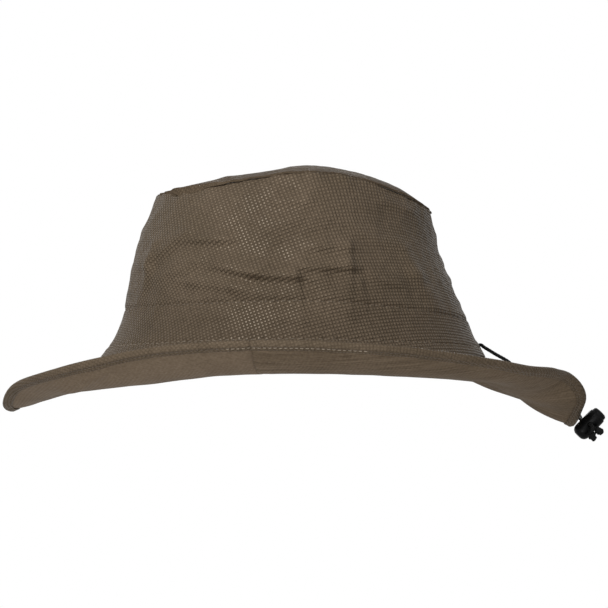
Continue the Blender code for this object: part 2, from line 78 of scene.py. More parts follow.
soft_lamp("lamp_above_camera", (-0.58, -1.19, 0.86), 0.28, 17.5)
soft_lamp("lamp_low_front", (-0.08, -1.40, -0.17), 0.6, 6.5)
soft_lamp("lamp_far_side", (0.05, 1.35, 0.55), 0.6, 8.0)


def joined(tree, node, **sockets):
    """Gives a node's named inputs values or the outputs of other nodes."""
    for name, value in sockets.items():
        socket = node.inputs[name.replace("_", " ")]
        if isinstance(value, bpy.types.NodeSocket):
            tree.links.new(value, socket)
        else:
            socket.default_value = value
    return node


def linked(tree, kind, **sockets):
    """A new node whose named inputs take values or the outputs of other nodes."""
    return joined(tree, tree.nodes.new(kind), **sockets)


def larger(tree, first, second):
    """The larger of two numbers."""
    node = tree.nodes.new("ShaderNodeMath")
    node.operation = "MAXIMUM"
    tree.links.new(first, node.inputs[0])
    tree.links.new(second, node.inputs[1])
    return node.outputs[0]


def mixed_shader(tree, factor, first, second):
    """The first shader where the factor is 0, and the second where it is 1."""
    node = tree.nodes.new("ShaderNodeMixShader")
    for socket, source in zip(node.inputs, (factor, first, second)):
        tree.links.new(source, socket)
    return node.outputs[0]


studio = bpy.data.worlds.new("studio")
studio.use_nodes = True
bpy.context.scene.world = studio
room = studio.node_tree
room_light = joined(room, room.nodes["Background"], Color=WHITE, Strength=ROOM_LIGHT)
white_wall = linked(room, "ShaderNodeBackground", Color=WHITE, Strength=1.0)
ray = linked(room, "ShaderNodeLightPath")
direct = larger(room, ray.outputs["Is Camera Ray"], ray.outputs["Is Glossy Ray"])
seen = larger(room, direct, ray.outputs["Is Transmission Ray"])
room_seen = mixed_shader(room, seen, room_light.outputs["Background"], white_wall.outputs["Background"])
joined(room, room.nodes["World Output"], Surface=room_seen)


def new_finish(name):
    """A new material, with its node tree and its shader."""
    material = bpy.data.materials.new(name)
    material.use_nodes = True
    return material, material.node_tree, material.node_tree.nodes["Principled BSDF"]


def tone_ramp(tree, factor, stops):
    """The colour that a ramp of places and colours gives for a factor."""
    ramp = linked(tree, "ShaderNodeValToRGB", Fac=factor)
    elements = ramp.color_ramp.elements
    for element, (place, colour) in zip(elements, stops):
        element.position = place
        element.color = (*colour, 1.0)
    return ramp.outputs["Color"]


def pale_floor():
    """Matt pale paint on the upper side, and nothing on the lower one."""
    material, tree, shader = new_finish("pale_floor")
    blotches = linked(tree, "ShaderNodeTexNoise", Scale=3.0)
    stops = ((0.0, (0.90, 0.90, 0.895)), (1.0, (0.93, 0.93, 0.93)))
    joined(tree, shader, Base_Color=tone_ramp(tree, blotches.outputs["Fac"], stops), Roughness=0.9)
    below = linked(tree, "ShaderNodeNewGeometry").outputs["Backfacing"]
    clear = linked(tree, "ShaderNodeBsdfTransparent").outputs["BSDF"]
    both = mixed_shader(tree, below, shader.outputs["BSDF"], clear)
    joined(tree, tree.nodes["Material Output"], Surface=both)
    return material


floor_disc = bmesh.new()
bmesh.ops.create_circle(floor_disc, cap_ends=True, segments=96, radius=FLOOR_RADIUS)
floor_mesh = bpy.data.meshes.new("studio_floor")
floor_disc.to_mesh(floor_mesh)
floor_disc.free()
floor_mesh.materials.append(pale_floor())
floor = bpy.data.objects.new("studio_floor", floor_mesh)
floor.location = (0.0, 0.0, FLOOR_HEIGHT)
bpy.context.scene.collection.objects.link(floor)

# Crown sides. Two panels of embossed non-woven cloth, cut as pieces of a flat cone and sewn
# together at the front and at the back. The seams draw the cloth into puckers, and the soft
# cloth keeps the creases that it got in its box. Sizes in this file's arrays are millimetres.
MM = 0.001
HEIGHT_SHARES = (0.0, 0.10, 0.25, 0.50, 0.75, 0.90, 1.0)
FRONT_REACH = (118.5, 111.5, 105.0, 100.5, 94.0, 88.0, 83.5)
BACK_REACH = (118.0, 112.7, 107.2, 98.4, 89.4, 86.4, 85.0)
SIDE_REACH = (97.0, 92.0, 88.0, 83.0, 76.5, 72.0, 68.0)
BASE_RISE_AT_SIDES = 3.5
TOP_SEAM_FRONT = 99.0
TOP_SEAM_BACK = 88.5
TOP_SEAM_SIDES = 110.0
TOP_SEAM_BOW_FRONT = 3.5
TOP_SEAM_BOW_BACK = 2.0
SEAM_SAG = 3.2
SEAM_SAG_TURN = math.radians(250.0)
SEAM_SAG_SPREAD = 0.40
CROWN_CLOTH = 0.7
CROWN_SLANT = 104.0
CROWN_RADIUS = 100.0
CONE_RADIUS = 351.0
CONE_SHARE = 0.305
PANEL_SEAM_GAP = 0.09
BASE_STITCH_SHARE = 0.05


def through(keys, values, at):
    """A smooth curve through the values at the keys."""
    keys = np.asarray(keys, float)
    values = np.asarray(values, float)
    at = np.asarray(at, float)
    slope = np.gradient(values, keys)
    low = np.clip(np.searchsorted(keys, at) - 1, 0, len(keys) - 2)
    high = low + 1
    step = keys[high] - keys[low]
    part = (at - keys[low]) / step
    from_low = (2 * part**3 - 3 * part**2 + 1) * values[low]
    from_low = from_low + (part**3 - 2 * part**2 + part) * step * slope[low]
    from_high = (3 * part**2 - 2 * part**3) * values[high]
    from_high = from_high + (part**3 - part**2) * step * slope[high]
    return from_low + from_high


def bell(offset, width):
    """A smooth hump that is 1 at no offset and has faded at twice the width."""
    return np.exp(-((offset / width) ** 2))


def crown_point(turn, share):
    """A point of the smooth crown, at a turn from the back and a share of its height."""
    turn = np.radians(np.asarray(turn, float))
    share = np.asarray(share, float)
    along = np.cos(turn)
    aside = np.sin(turn)
    in_front = along < 0
    end = np.where(in_front, TOP_SEAM_FRONT, TOP_SEAM_BACK)
    bow = np.where(in_front, TOP_SEAM_BOW_FRONT, TOP_SEAM_BOW_BACK)
    top = end + (TOP_SEAM_SIDES - end) * np.abs(aside) ** bow
    top = top - SEAM_SAG * bell(turn - SEAM_SAG_TURN, SEAM_SAG_SPREAD)
    low = BASE_RISE_AT_SIDES * aside**2
    front = through(HEIGHT_SHARES, FRONT_REACH, share)
    back = through(HEIGHT_SHARES, BACK_REACH, share)
    x = np.where(in_front, front, back) * along
    y = through(HEIGHT_SHARES, SIDE_REACH, share) * aside
    return np.stack(np.broadcast_arrays(x, y, low + share * (top - low)), axis=-1)


def unit(ways):
    """The ways, each with a length of 1."""
    return ways / np.linalg.norm(ways, axis=-1, keepdims=True)


def facing(surface, turn, share, flip=1.0):
    """The unit normal of a surface, from small steps along it."""
    round_it = surface(np.asarray(turn) + 0.4, share) - surface(np.asarray(turn) - 0.4, share)
    up_it = surface(turn, np.asarray(share) + 0.002) - surface(turn, np.asarray(share) - 0.002)
    return unit(np.cross(round_it, up_it) * flip)


def rumple(points, size, seed):
    """Smooth noise from -1 to 1, with bumps of about this size."""
    shift = Vector((7.1 * seed, 3.7 * seed, 5.3 * seed))
    spots = points.reshape(-1, 3) / size
    found = [noise.noise(Vector(spot) + shift) for spot in spots]
    return np.array(found).reshape(points.shape[:-1])


def creases(across, up, lines):
    """The height of folds: two ends of each crest, its widths to the left and right, its height."""
    total = np.zeros_like(across)
    for (x0, z0), (x1, z1), left, right, height in lines:
        run = math.hypot(x1 - x0, z1 - z0)
        along = ((across - x0) * (x1 - x0) + (up - z0) * (z1 - z0)) / run
        aside = ((up - z0) * (x1 - x0) - (across - x0) * (z1 - z0)) / run
        past = np.maximum(np.maximum(-along, along - run), 0.0)
        width = np.where(aside > 0, left, right)
        total += height * bell(aside, width) * bell(past, max(left, right))
    return total


LEFT_CREASES = (
    ((-40.0, 50.5), (-22.0, 46.5), 8.0, 2.4, 2.9),
    ((-22.0, 46.5), (2.0, 45.0), 7.0, 2.3, 3.1),
    ((-36.0, 38.5), (-4.0, 34.0), 4.5, 3.5, 1.6),
    ((-60.0, 42.5), (-30.0, 37.0), 6.0, 3.0, 1.9),
    ((6.0, 20.0), (1.5, 45.0), 5.0, 2.8, 2.8),
    ((26.0, 31.0), (14.0, 43.0), 5.0, 8.0, 2.8),
    ((6.0, 50.5), (33.0, 50.5), 7.0, 2.1, 3.2),
    ((15.0, 62.5), (33.0, 62.5), 6.0, 2.3, 1.9),
    ((34.0, 26.0), (32.5, 62.0), 6.0, 2.4, 2.0),
    ((41.0, 27.0), (39.0, 42.0), 4.0, 3.0, 2.0),
    ((-87.0, 55.0), (-64.0, 71.0), 7.0, 3.2, 2.2),
    ((-59.0, 67.5), (-40.0, 67.5), 6.0, 2.2, 2.6),
    ((-80.0, 46.0), (-56.0, 54.0), 6.0, 4.0, 1.4),
    ((-86.0, 51.0), (-82.0, 66.0), 3.0, 2.4, 1.4),
    ((-94.0, 29.0), (-85.5, 51.0), 3.0, 2.6, 1.5),
    ((-84.0, 22.0), (-78.0, 40.0), 4.0, 2.6, 1.1),
    ((72.5, 47.0), (66.5, 62.0), 4.0, 5.0, 1.9),
    ((84.0, 30.0), (72.5, 47.0), 4.0, 5.0, 1.8),
    ((50.0, 44.0), (62.0, 41.0), 6.0, 2.2, 1.3),
    ((54.0, 91.0), (70.0, 86.5), 4.0, 2.4, 1.3),
    ((-10.0, 90.5), (10.0, 90.0), 4.0, 3.0, 1.3),
    ((-20.0, 78.0), (14.0, 80.0), 5.0, 8.0, 0.9),
    ((-56.0, 22.5), (-38.0, 22.0), 4.0, 3.0, 1.2),
    ((-10.0, 20.0), (18.0, 19.0), 4.0, 3.0, 1.1),
    ((40.0, 72.0), (60.0, 66.0), 7.0, 4.0, 1.2),
)
RIGHT_CREASES = (
    ((-70.0, 62.0), (-30.0, 50.0), 8.0, 3.0, 2.0),
    ((-20.0, 24.0), (-12.0, 58.0), 5.0, 2.2, 2.0),
    ((-4.0, 48.0), (30.0, 53.0), 7.0, 1.8, 2.2),
    ((34.0, 28.0), (30.0, 62.0), 5.0, 2.0, 1.8),
    ((52.0, 28.0), (42.0, 66.0), 4.0, 4.0, 1.6),
    ((84.0, 24.0), (70.0, 56.0), 4.0, 3.0, 1.6),
    ((-97.0, 28.0), (-88.0, 58.0), 3.0, 3.0, 1.5),
    ((-40.0, 86.0), (10.0, 92.0), 6.0, 4.0, 1.3),
    ((-50.0, 20.0), (40.0, 19.0), 4.0, 3.0, 1.0),
)


def box_creases(spot):
    """The folds and the softer waves that the cloth got in its box."""
    x, y, z = np.moveaxis(spot, -1, 0)
    left = np.clip(0.5 - y / 16.0, 0.0, 1.0)
    folds = left * creases(x, z, LEFT_CREASES) + (1 - left) * creases(x, z, RIGHT_CREASES)
    waves = 1.9 * rumple(spot, 46.0, 1) + 0.35 * rumple(spot, 6.0, 3)
    ridges = 1.1 * (0.4 - np.abs(rumple(spot, 24.0, 2))) + 0.5 * (0.4 - np.abs(rumple(spot, 11.0, 10)))
    return folds + waves + ridges


def panel_seams(turn, spot, slack):
    """The puckers beside the front and back seams, and the groove of the seam itself."""
    from_seam = CROWN_RADIUS * np.radians(np.minimum(turn % 180.0, 180.0 - turn % 180.0))
    pucker = 0.45 * np.sin(2 * np.pi * spot[..., 2] / 15.0 + 6.0 * rumple(spot, 30.0, 4))
    pucker = pucker + 0.8 * rumple(spot, 9.0, 13)
    return pucker * bell(from_seam, 11.0) * slack - 0.7 * bell(from_seam, 1.3)


def seam_shown(turn):
    """How far the tip's seam stands out along the rim, from 0.3 where it is pulled flat."""
    front = bell(np.asarray(turn) - 220.0, 15.0)
    back = bell(np.asarray(turn) - 322.0, 18.0)
    return 0.3 + 0.7 * np.maximum(front, back)


def rim_gather(turn, spot):
    """The small even gathers that the tip's seam draws up, from -1 to 1."""
    return np.sin(np.radians(turn) * 31.0 + 6.0 * rumple(spot, 30.0, 5))


def stitch_share(turn):
    """The height of the stitches that hold the band's upper edge, as a share of the crown."""
    return 0.262 - 0.02 * np.cos(np.radians(turn))


def stitch_tugs(turn, share, spot):
    """The grooves along the band's two rows of stitches, and the tug of each stitch."""
    above_row = (share - stitch_share(turn)) * CROWN_SLANT
    above_base = (share - BASE_STITCH_SHARE) * CROWN_SLANT
    grooves = 0.55 * bell(above_row, 0.9) + 0.45 * bell(above_base, 0.9)
    swell = 0.35 * bell(above_row - 3.0, 2.4)
    tug = np.sin(np.radians(turn) * 118.0 + 3.0 * rumple(spot, 15.0, 6))
    return swell - grooves + tug * (0.16 * bell(above_row, 4.5) + 0.14 * bell(above_base, 4.0))


def crown_relief(turn, share):
    """How far the crown's cloth stands out of the smooth crown, in millimetres."""
    turn, share = np.broadcast_arrays(np.asarray(turn, float), np.asarray(share, float))
    spot = crown_point(turn, share)
    slack = 0.35 + 0.65 * np.clip((share - stitch_share(turn)) / 0.12, 0.0, 1.0)
    below_top = (1 - share) * CROWN_SLANT
    rim = 0.35 * rim_gather(turn, spot) * bell(below_top, 7.0)
    rim = rim - 0.8 * seam_shown(turn) * bell(below_top, 1.8)
    cloth = slack * box_creases(spot) + panel_seams(turn, spot, slack)
    return cloth + rim + stitch_tugs(turn, share, spot)


def crown_face(turn, share, depth=0.0):
    """A point of the crown's rumpled outer face, or at a depth under it."""
    out = crown_relief(turn, share) - depth
    return crown_point(turn, share) + facing(crown_point, turn, share) * out[..., None]


def cloth_grid(turns, shares):
    """The turn and the share of each point of a grid over the cloth."""
    return np.meshgrid(turns, shares, indexing="ij")


def sheet_mesh(name, points, flat, loop, cap):
    """A mesh over a grid of points, with a UV map in metres of where the cloth lies flat."""
    if loop:
        points = points[:-1]
    rows, columns = points.shape[:2]
    spans = rows if loop else rows - 1
    row, column = cloth_grid(np.arange(spans), np.arange(columns - 1))
    near = row * columns + column
    far = ((row + 1) % rows) * columns + column
    far_flat = (row + 1) * columns + column
    quads = np.stack([near, far, far + 1, near + 1], axis=-1).reshape(-1, 4).tolist()
    corners = np.stack([near, far_flat, far_flat + 1, near + 1], axis=-1).reshape(-1).tolist()
    if cap:
        ring = [spoke * columns + columns - 1 for spoke in range(rows)]
        quads.append(ring)
        corners.extend(ring)
    mesh = bpy.data.meshes.new(name)
    mesh.from_pydata((points.reshape(-1, 3) * MM).tolist(), [], quads)
    layer = mesh.uv_layers.new(name="flat_cloth")
    layer.data.foreach_set("uv", (flat.reshape(-1, 2)[corners] * MM).ravel())
    mesh.shade_smooth()
    return mesh


def worn_piece(name, mesh, body, materials, nodes):
    """Puts a mesh in the scene as a piece that rides on a body and stands for CAD nodes."""
    for material in materials:
        mesh.materials.append(material)
    piece = bpy.data.objects.new(name, mesh)
    bpy.context.scene.collection.objects.link(piece)
    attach(piece, body)
    if nodes:
        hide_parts(*nodes)
    return piece


def sewn_sheet(name, points, flat, materials, node, depth, loop=False, cap=False):
    """A sheet of cloth that stands for a CAD node, this many millimetres thick on its inner side."""
    mesh = sheet_mesh(name, points, flat, loop, cap)
    piece = worn_piece(name, mesh, "hat", materials, [node])
    cloth = piece.modifiers.new("cloth_depth", "SOLIDIFY")
    cloth.thickness = depth * MM
    cloth.offset = -1.0
    cloth.material_offset = len(materials) - 1
    return piece


def piece_noise(tree, scale, detail, **sockets):
    """Noise that is fixed to the piece, with this many bumps in a metre."""
    place = linked(tree, "ShaderNodeTexCoord").outputs["Object"]
    bumps = linked(tree, "ShaderNodeTexNoise", Vector=place, Scale=scale, Detail=detail, **sockets)
    return bumps.outputs["Fac"]


def flat_cloth(tree):
    """The place of a point on the flat cloth, in metres."""
    flat = linked(tree, "ShaderNodeUVMap")
    flat.uv_map = "flat_cloth"
    return flat.outputs["UV"]


def raised(tree, height, strength, distance):
    """The normal of a face that a height roughens, up to a distance in metres."""
    bump = linked(tree, "ShaderNodeBump", Height=height, Strength=strength, Distance=distance)
    return bump.outputs["Normal"]


def multiplied(tree, first, second):
    """One colour times another."""
    mix = tree.nodes.new("ShaderNodeMix")
    mix.data_type = "RGBA"
    mix.blend_type = "MULTIPLY"
    joined(tree, mix, Factor=1.0, A=first, B=second)
    return mix.outputs["Result"]


LATTICE_TURN = math.radians(-18.0)
POINTS_IN_A_METRE = 500.0
STREAKS_IN_A_METRE = (30.0, 560.0, 1.0)
SPECKLE_TONES = ((0.30, (0.78, 0.77, 0.76)), (0.70, (1.12, 1.12, 1.12)))
WARM_GLOSS = (1.0, 0.88, 0.72, 1.0)


def embossed_cloth(name, dark, light, emboss, roughness, gloss, streak=0.0):
    """Non-woven cloth: a square lattice of pressed points over felted fibres, with worn tones and painted
    shade in the pressed lattice.
    """
    material, tree, shader = new_finish(name)
    flat = flat_cloth(tree)
    laid = linked(tree, "ShaderNodeMapping", Vector=flat, Rotation=(0.0, 0.0, LATTICE_TURN))
    lattice = linked(tree, "ShaderNodeTexVoronoi", Vector=laid.outputs["Vector"], Scale=POINTS_IN_A_METRE)
    lattice.voronoi_dimensions = "2D"
    joined(tree, lattice, Randomness=0.0)
    ease = linked(tree, "ShaderNodeMapRange", Value=lattice.outputs["Distance"])
    ease.interpolation_type = "SMOOTHSTEP"
    joined(tree, ease, From_Min=0.20, From_Max=0.52)
    pressed = ease.outputs["Result"]

    patches = piece_noise(tree, 32.0, 5.0, Roughness=0.62)
    drawn = linked(tree, "ShaderNodeMapping", Vector=flat, Scale=STREAKS_IN_A_METRE)
    streaks = linked(tree, "ShaderNodeTexNoise", Vector=drawn.outputs["Vector"], Scale=1.0, Detail=3.0)
    worn = linked(tree, "ShaderNodeMix", Factor=streak, A=patches, B=streaks.outputs["Fac"])
    tones = tone_ramp(tree, worn.outputs["Result"], ((0.28, dark), (0.72, light)))
    # Painted shade: the pressed lattice between the raised points is painted darker, and more so where the
    # emboss is deeper.
    pit = 1.0 - 0.36 * emboss
    painted_pit_shade = tone_ramp(tree, pressed, ((0.0, (1.0, 1.0, 1.0)), (1.0, (pit, pit, pit))))
    speckle = tone_ramp(tree, piece_noise(tree, 620.0, 4.0), SPECKLE_TONES)
    colour = multiplied(tree, multiplied(tree, tones, painted_pit_shade), speckle)
    polish = linked(tree, "ShaderNodeMapRange", Value=pressed, To_Min=roughness, To_Max=0.88)
    felt = raised(tree, piece_noise(tree, 1900.0, 3.0), 0.15, 0.0004)
    relief = linked(tree, "ShaderNodeBump", Height=pressed, Normal=felt, Strength=emboss, Distance=0.0006)
    relief.invert = True
    joined(tree, shader, Base_Color=colour, Normal=relief.outputs["Normal"], Specular_Tint=WARM_GLOSS)
    joined(tree, shader, Roughness=polish.outputs["Result"], Specular_IOR_Level=gloss)
    return material


shell_cloth = embossed_cloth(
    "shell_cloth", (0.104, 0.077, 0.050), (0.152, 0.113, 0.077), emboss=0.90, roughness=0.34, gloss=0.28
)
shell_back = embossed_cloth(
    "shell_cloth_back", (0.20, 0.185, 0.165), (0.27, 0.25, 0.23), emboss=0.35, roughness=0.62, gloss=0.15
)


def cone_flat(turn, share, middle):
    """Where a point of a crown panel lies on the flat cloth that it was cut from."""
    radius = CONE_RADIUS - CROWN_SLANT * share
    angle = np.radians(turn - middle) * CONE_SHARE
    return np.stack([radius * np.sin(angle), -radius * np.cos(angle)], axis=-1)


for side, first in (("right", 0.0), ("left", 180.0)):
    panel_turns = np.linspace(first + PANEL_SEAM_GAP, first + 180.0 - PANEL_SEAM_GAP, 361)
    turn, share = cloth_grid(panel_turns, np.linspace(-0.015, 0.992, 110))
    panel = sewn_sheet(
        "crown_panel_" + side,
        crown_face(turn, share),
        cone_flat(turn, share, first + 90.0),
        (shell_cloth, shell_back),
        "crown_side_" + side,
        CROWN_CLOTH,
    )

# Crown tip. One oval of the same cloth, lapped over the top of the side panels and sewn down.
# The seam gathers it, so that its rim is scalloped and the dome has loose tucks.
TIP_TOP = 116.5
TIP_REACH = 76.0
TIP_CLOTH = 0.5
TIP_DENT = 2.2
TIP_DENT_X = -19.0
TIP_TUCKS = (
    ((-70.0, 101.0), (-40.0, 106.0), 5.0, 1.8, 1.2),
    ((46.0, 106.0), (76.0, 95.5), 5.0, 1.8, 0.4),
)
HEAD_MIDDLE = np.array((0.0, 0.0, 60.0))


def tip_point(turn, inward):
    """A point of the smooth tip, from the top seam at inward 0 to its middle at 1."""
    rim = crown_point(turn, 1.0)
    way_back = np.cos(np.radians(turn))
    power = 2.0 + np.where(way_back < 0, 0.95, 0.5) * way_back
    outward = 1 - np.asarray(inward, float)
    rise = 1 - np.clip(outward, 0.0, None) ** power
    z = rim[..., 2] + (TIP_TOP - rim[..., 2]) * rise
    return np.stack(np.broadcast_arrays(rim[..., 0] * outward, rim[..., 1] * outward, z), axis=-1)


def tip_face(turn, inward):
    """A point of the rumpled tip. Negative inward is the rim, lapped down over the sides."""
    turn, inward = np.broadcast_arrays(np.asarray(turn, float), np.asarray(inward, float))
    over = np.clip(inward, 0.0, 1.0)
    lap = np.clip(-inward, 0.0, 1.0) * (0.01 + 0.045 * bell(turn - 220.0, 13.0))
    spot = np.where((inward < 0)[..., None], crown_point(turn, 1.0 - lap), tip_point(turn, over))
    x, y, z = np.moveaxis(spot, -1, 0)
    from_rim = over * TIP_REACH
    wave = 0.7 * rumple(spot, 40.0, 7) + 0.9 * (0.3 - np.abs(rumple(spot, 20.0, 8)))
    wave = (wave + 0.25 * rumple(spot, 6.0, 9)) * np.clip(from_rim / 12.0, 0.15, 1.0)
    rim = 0.35 * rim_gather(turn, spot) * bell(from_rim, 6.0)
    tucks = creases(x, z, TIP_TUCKS) * bell(np.minimum(y + 60.0, 0.0), 18.0)
    tucks = tucks * np.clip(0.5 - (y + 10.0) / 30.0, 0.0, 1.0)
    dent = TIP_DENT * bell(x - TIP_DENT_X, 15.0) * np.clip((over - 0.3) / 0.3, 0.0, 1.0)
    up = wave + rim + tucks - dent
    lip = (0.15 + 0.75 * seam_shown(turn)) * bell(from_rim, 3.0)
    sideways = facing(crown_point, turn, 0.99)
    return spot + unit(spot - HEAD_MIDDLE) * up[..., None] + sideways * lip[..., None]


# The tip's cloth is the sides' cloth painted about a tenth darker, as painted shade on the dome that faces
# up, and it has little gloss.
tip_cloth_painted_shade = embossed_cloth(
    "tip_cloth_painted_shade", (0.094, 0.069, 0.045), (0.138, 0.102, 0.069), emboss=0.70, roughness=0.70, gloss=0.04
)
tip_rings = np.concatenate([(-1.0, -0.75, -0.5, -0.25), np.linspace(0.0, 0.99, 62)])
turn, inward = cloth_grid(np.linspace(0.0, 360.0, 481), tip_rings)
tip_points = tip_face(turn, inward)
tip_flat = tip_points[..., :2] * (1.0 - 0.04 * np.clip(inward, -1.0, 0.0))[..., None]
crown_top = sewn_sheet(
    "crown_top",
    tip_points,
    tip_flat,
    (tip_cloth_painted_shade, shell_back),
    "crown_tip",
    TIP_CLOTH,
    loop=True,
    cap=True,
)

# Seam tapes. Narrow satin tapes glued over the crown's seams on the inside, one down the
# back, one down the front and one round the tip.
UNDER_CROWN = 1.1
TAPE = 0.4
TAPE_HALF_TURN = 5.6
TAPE_SHARES = (0.34, 0.88)
TIP_TAPE_SHARES = (0.90, 0.965)
TIP_TAPE_RADIUS = 78.0


def woven_tape(name, dark, light):
    """Ribbed woven tape, with fine ribs across it and a satin gloss."""
    material, tree, shader = new_finish(name)
    flat = flat_cloth(tree)
    wave = linked(tree, "ShaderNodeTexWave", Vector=flat, Scale=420.0, Distortion=0.6, Detail=2.0)
    ribs = wave.outputs["Fac"]
    tones = tone_ramp(tree, ribs, ((0.2, dark), (0.8, light)))
    joined(tree, shader, Base_Color=tones, Normal=raised(tree, ribs, 0.4, 0.0003), Roughness=0.5)
    return material


tape_satin = woven_tape("tape_satin", (0.15, 0.14, 0.13), (0.24, 0.23, 0.22))
for name, middle in (("back_seam_tape", 0.0), ("front_seam_tape", 180.0)):
    tape_turns = middle + np.linspace(-TAPE_HALF_TURN, TAPE_HALF_TURN, 17)
    turn, share = cloth_grid(tape_turns, np.linspace(*TAPE_SHARES, 70))
    tape = sewn_sheet(
        name + "_cloth",
        crown_face(turn, share, UNDER_CROWN),
        cone_flat(turn, share, middle)[..., ::-1],
        (tape_satin,),
        name,
        TAPE,
    )
turn, share = cloth_grid(np.linspace(0.0, 360.0, 361), np.linspace(*TIP_TAPE_SHARES, 9))
tip_tape = sewn_sheet(
    "tip_seam_tape_cloth",
    crown_face(turn, share, UNDER_CROWN),
    np.stack([np.radians(turn) * TIP_TAPE_RADIUS, share * CROWN_SLANT], axis=-1),
    (tape_satin,),
    "tip_seam_tape",
    TAPE,
    loop=True,
)

# Brim. An upper and a lower ply, each a front and a back piece sewn together at the sides,
# with a thin foam sheet between them. The upper ply is turned round the edge and sewn down
# underneath as a hem. The sides curl up, so that the lower ply is what shows from the side.
BRIM_WIDTH = 70.5
BRIM_INSET = 1.2
BRIM_BELOW_CROWN = 0.65
BRIM_DEPTH = 2.5
BRIM_PLY = 0.6
BRIM_FLAT_RADIUS = 107.0
SLOPE_TURNS = (0, 8, 15, 22, 30, 45, 60, 90, 110, 130, 145, 158, 168, 180)
ROOT_SLOPES = (-51, -55, -61, -67, -63, -49, -45, -44, -48, -57, -56, -55, -49, -42)
EDGE_SLOPES = (-20, -2, 17, 44, 43, 37, 42, 51, 53, 48, 34, 23, 2, -14)
BRIM_SEAM_RIGHT = 97.5
BRIM_SEAM_LEFT = 262.5
BRIM_CREASES = (((-132.0, -20.5), (-108.0, -9.0), 6.0, 2.0, 1.8),)

# Where the cloth is fuller or scanter than the smooth brim: a turn from the back on either
# side, the spread of turns, and the extra width as a share of the brim's.
BRIM_FULLNESS = ((16.0, 5.2, 0.066), (31.0, 6.0, 0.030), (180.0, 9.0, -0.05))

# Where the brim is lifted: a turn and its spread, a share of the width and its spread, the lift.
BRIM_LIFTS = (
    (35.0, 8.5, 0.47, 0.22, 3.6),
    (50.0, 14.0, 0.49, 0.25, 0.9),
    (180.0, 10.0, 1.0, 0.15, 1.1),
    (0.0, 6.0, 0.72, 0.25, -1.6),
)


def from_back(turn):
    """The turn from the back, from 0 to 180 on either side."""
    return 180 - np.abs(180 - np.asarray(turn, float) % 360)


def brim_slope(turn, slopes):
    """The slope of the brim's section at a turn, in radians, the same on both sides."""
    turns = np.array(SLOPE_TURNS, float)
    slopes = np.radians(np.array(slopes, float))
    turns = np.concatenate([-turns[2:0:-1], turns, 360 - turns[-2:-4:-1]])
    slopes = np.concatenate([slopes[2:0:-1], slopes, slopes[-2:-4:-1]])
    return through(turns, slopes, from_back(turn))


def brim_point(turn, share):
    """A point of the brim's smooth upper face, from its inner edge at 0 to its outer edge at 1."""
    angle = np.radians(np.asarray(turn, float))
    share = np.asarray(share, float)
    along = np.cos(angle)
    first = brim_slope(turn, ROOT_SLOPES)
    bend = brim_slope(turn, EDGE_SLOPES) - first
    bend = np.where(np.abs(bend) < 1e-4, 1e-4, bend)
    here = first + bend * share
    out = BRIM_WIDTH * (np.sin(here) - np.sin(first)) / bend - BRIM_INSET
    up = BRIM_WIDTH * (np.cos(first) - np.cos(here)) / bend - BRIM_BELOW_CROWN
    x = (np.where(along < 0, FRONT_REACH[0], BACK_REACH[0]) + out) * along
    y = (SIDE_REACH[0] + out) * np.sin(angle)
    return np.stack(np.broadcast_arrays(x, y, crown_point(turn, 0.0)[..., 2] + up), axis=-1)


def brim_face(turn, share, depth):
    """A point of the rumpled brim at a depth under its upper face."""
    turn, share = np.broadcast_arrays(np.asarray(turn, float), np.asarray(share, float))
    back_turn = from_back(turn)
    lift = np.zeros_like(share)
    for middle, spread, place, reach, height in BRIM_LIFTS:
        lift += height * bell(back_turn - middle, spread) * bell(share - place, reach)
    fullness = np.ones_like(share)
    for middle, spread, extra in BRIM_FULLNESS:
        fullness += extra * bell(back_turn - middle, spread)
    share = share * fullness
    spot = brim_point(turn, share)
    x, y, z = np.moveaxis(spot, -1, 0)
    crease = creases(x, z, BRIM_CREASES) * np.clip(-y / 20.0, 0.0, 1.0)
    crease = crease * np.clip((share - 0.52) / 0.2, 0.0, 1.0)
    wave = (rumple(spot, 42.0, 11) + 0.4 * rumple(spot, 16.0, 12)) * np.clip(share * 3.0, 0.0, 1.0) * 0.6
    from_seam = np.minimum(np.abs(turn % 360 - BRIM_SEAM_RIGHT), np.abs(turn % 360 - BRIM_SEAM_LEFT))
    tuck = -0.5 * bell(from_seam, 0.7)
    out = wave + lift - crease - depth - np.where(np.asarray(depth) > BRIM_DEPTH / 2, tuck, -tuck)
    return spot + facing(brim_point, turn, share, -1.0) * out[..., None]


def brim_flat(turn, share):
    """Where a point of the brim lies on flat cloth, as a ring about the head opening."""
    angle = np.radians(turn)
    radius = BRIM_FLAT_RADIUS + BRIM_WIDTH * np.asarray(share)
    return np.stack(np.broadcast_arrays(radius * np.cos(angle), radius * np.sin(angle)), axis=-1)


def run_along(points):
    """How far along a line each of its points lies."""
    return np.concatenate([[0.0], np.cumsum(np.linalg.norm(np.diff(points, axis=0), axis=1))])


brim_cloth = embossed_cloth(
    "brim_cloth", (0.091, 0.067, 0.044), (0.126, 0.094, 0.064), emboss=0.45, roughness=0.45, gloss=0.18
)
under_front = embossed_cloth(
    "under_cloth_front",
    (0.139, 0.102, 0.069),
    (0.176, 0.132, 0.091),
    emboss=0.05,
    roughness=0.60,
    gloss=0.12,
)
under_back = embossed_cloth(
    "under_cloth_back",
    (0.080, 0.057, 0.036),
    (0.172, 0.128, 0.087),
    emboss=0.05,
    roughness=0.60,
    gloss=0.12,
    streak=0.75,
)

HEM_CLOTH = 0.45
HEM_WIDTH = 4.8
HEM_STITCH = 2.8
HEM_LIES_AT = 3.05
HEM_SWELL = 0.75
HEM_GROOVE = 0.55
HEM_TURNED_IN = 0.2
EDGE_ROUND = 1.1
EDGE_HALF_DEPTH = 1.5
TOP_STATIONS = 56


def hem_depth(inward):
    """The depth of the hem's outside, this far in from the brim's edge."""
    swell = HEM_SWELL * np.sin(np.pi * (inward / HEM_WIDTH) ** 0.8)
    return HEM_LIES_AT + swell - HEM_GROOVE * bell(inward - HEM_STITCH, 0.8)


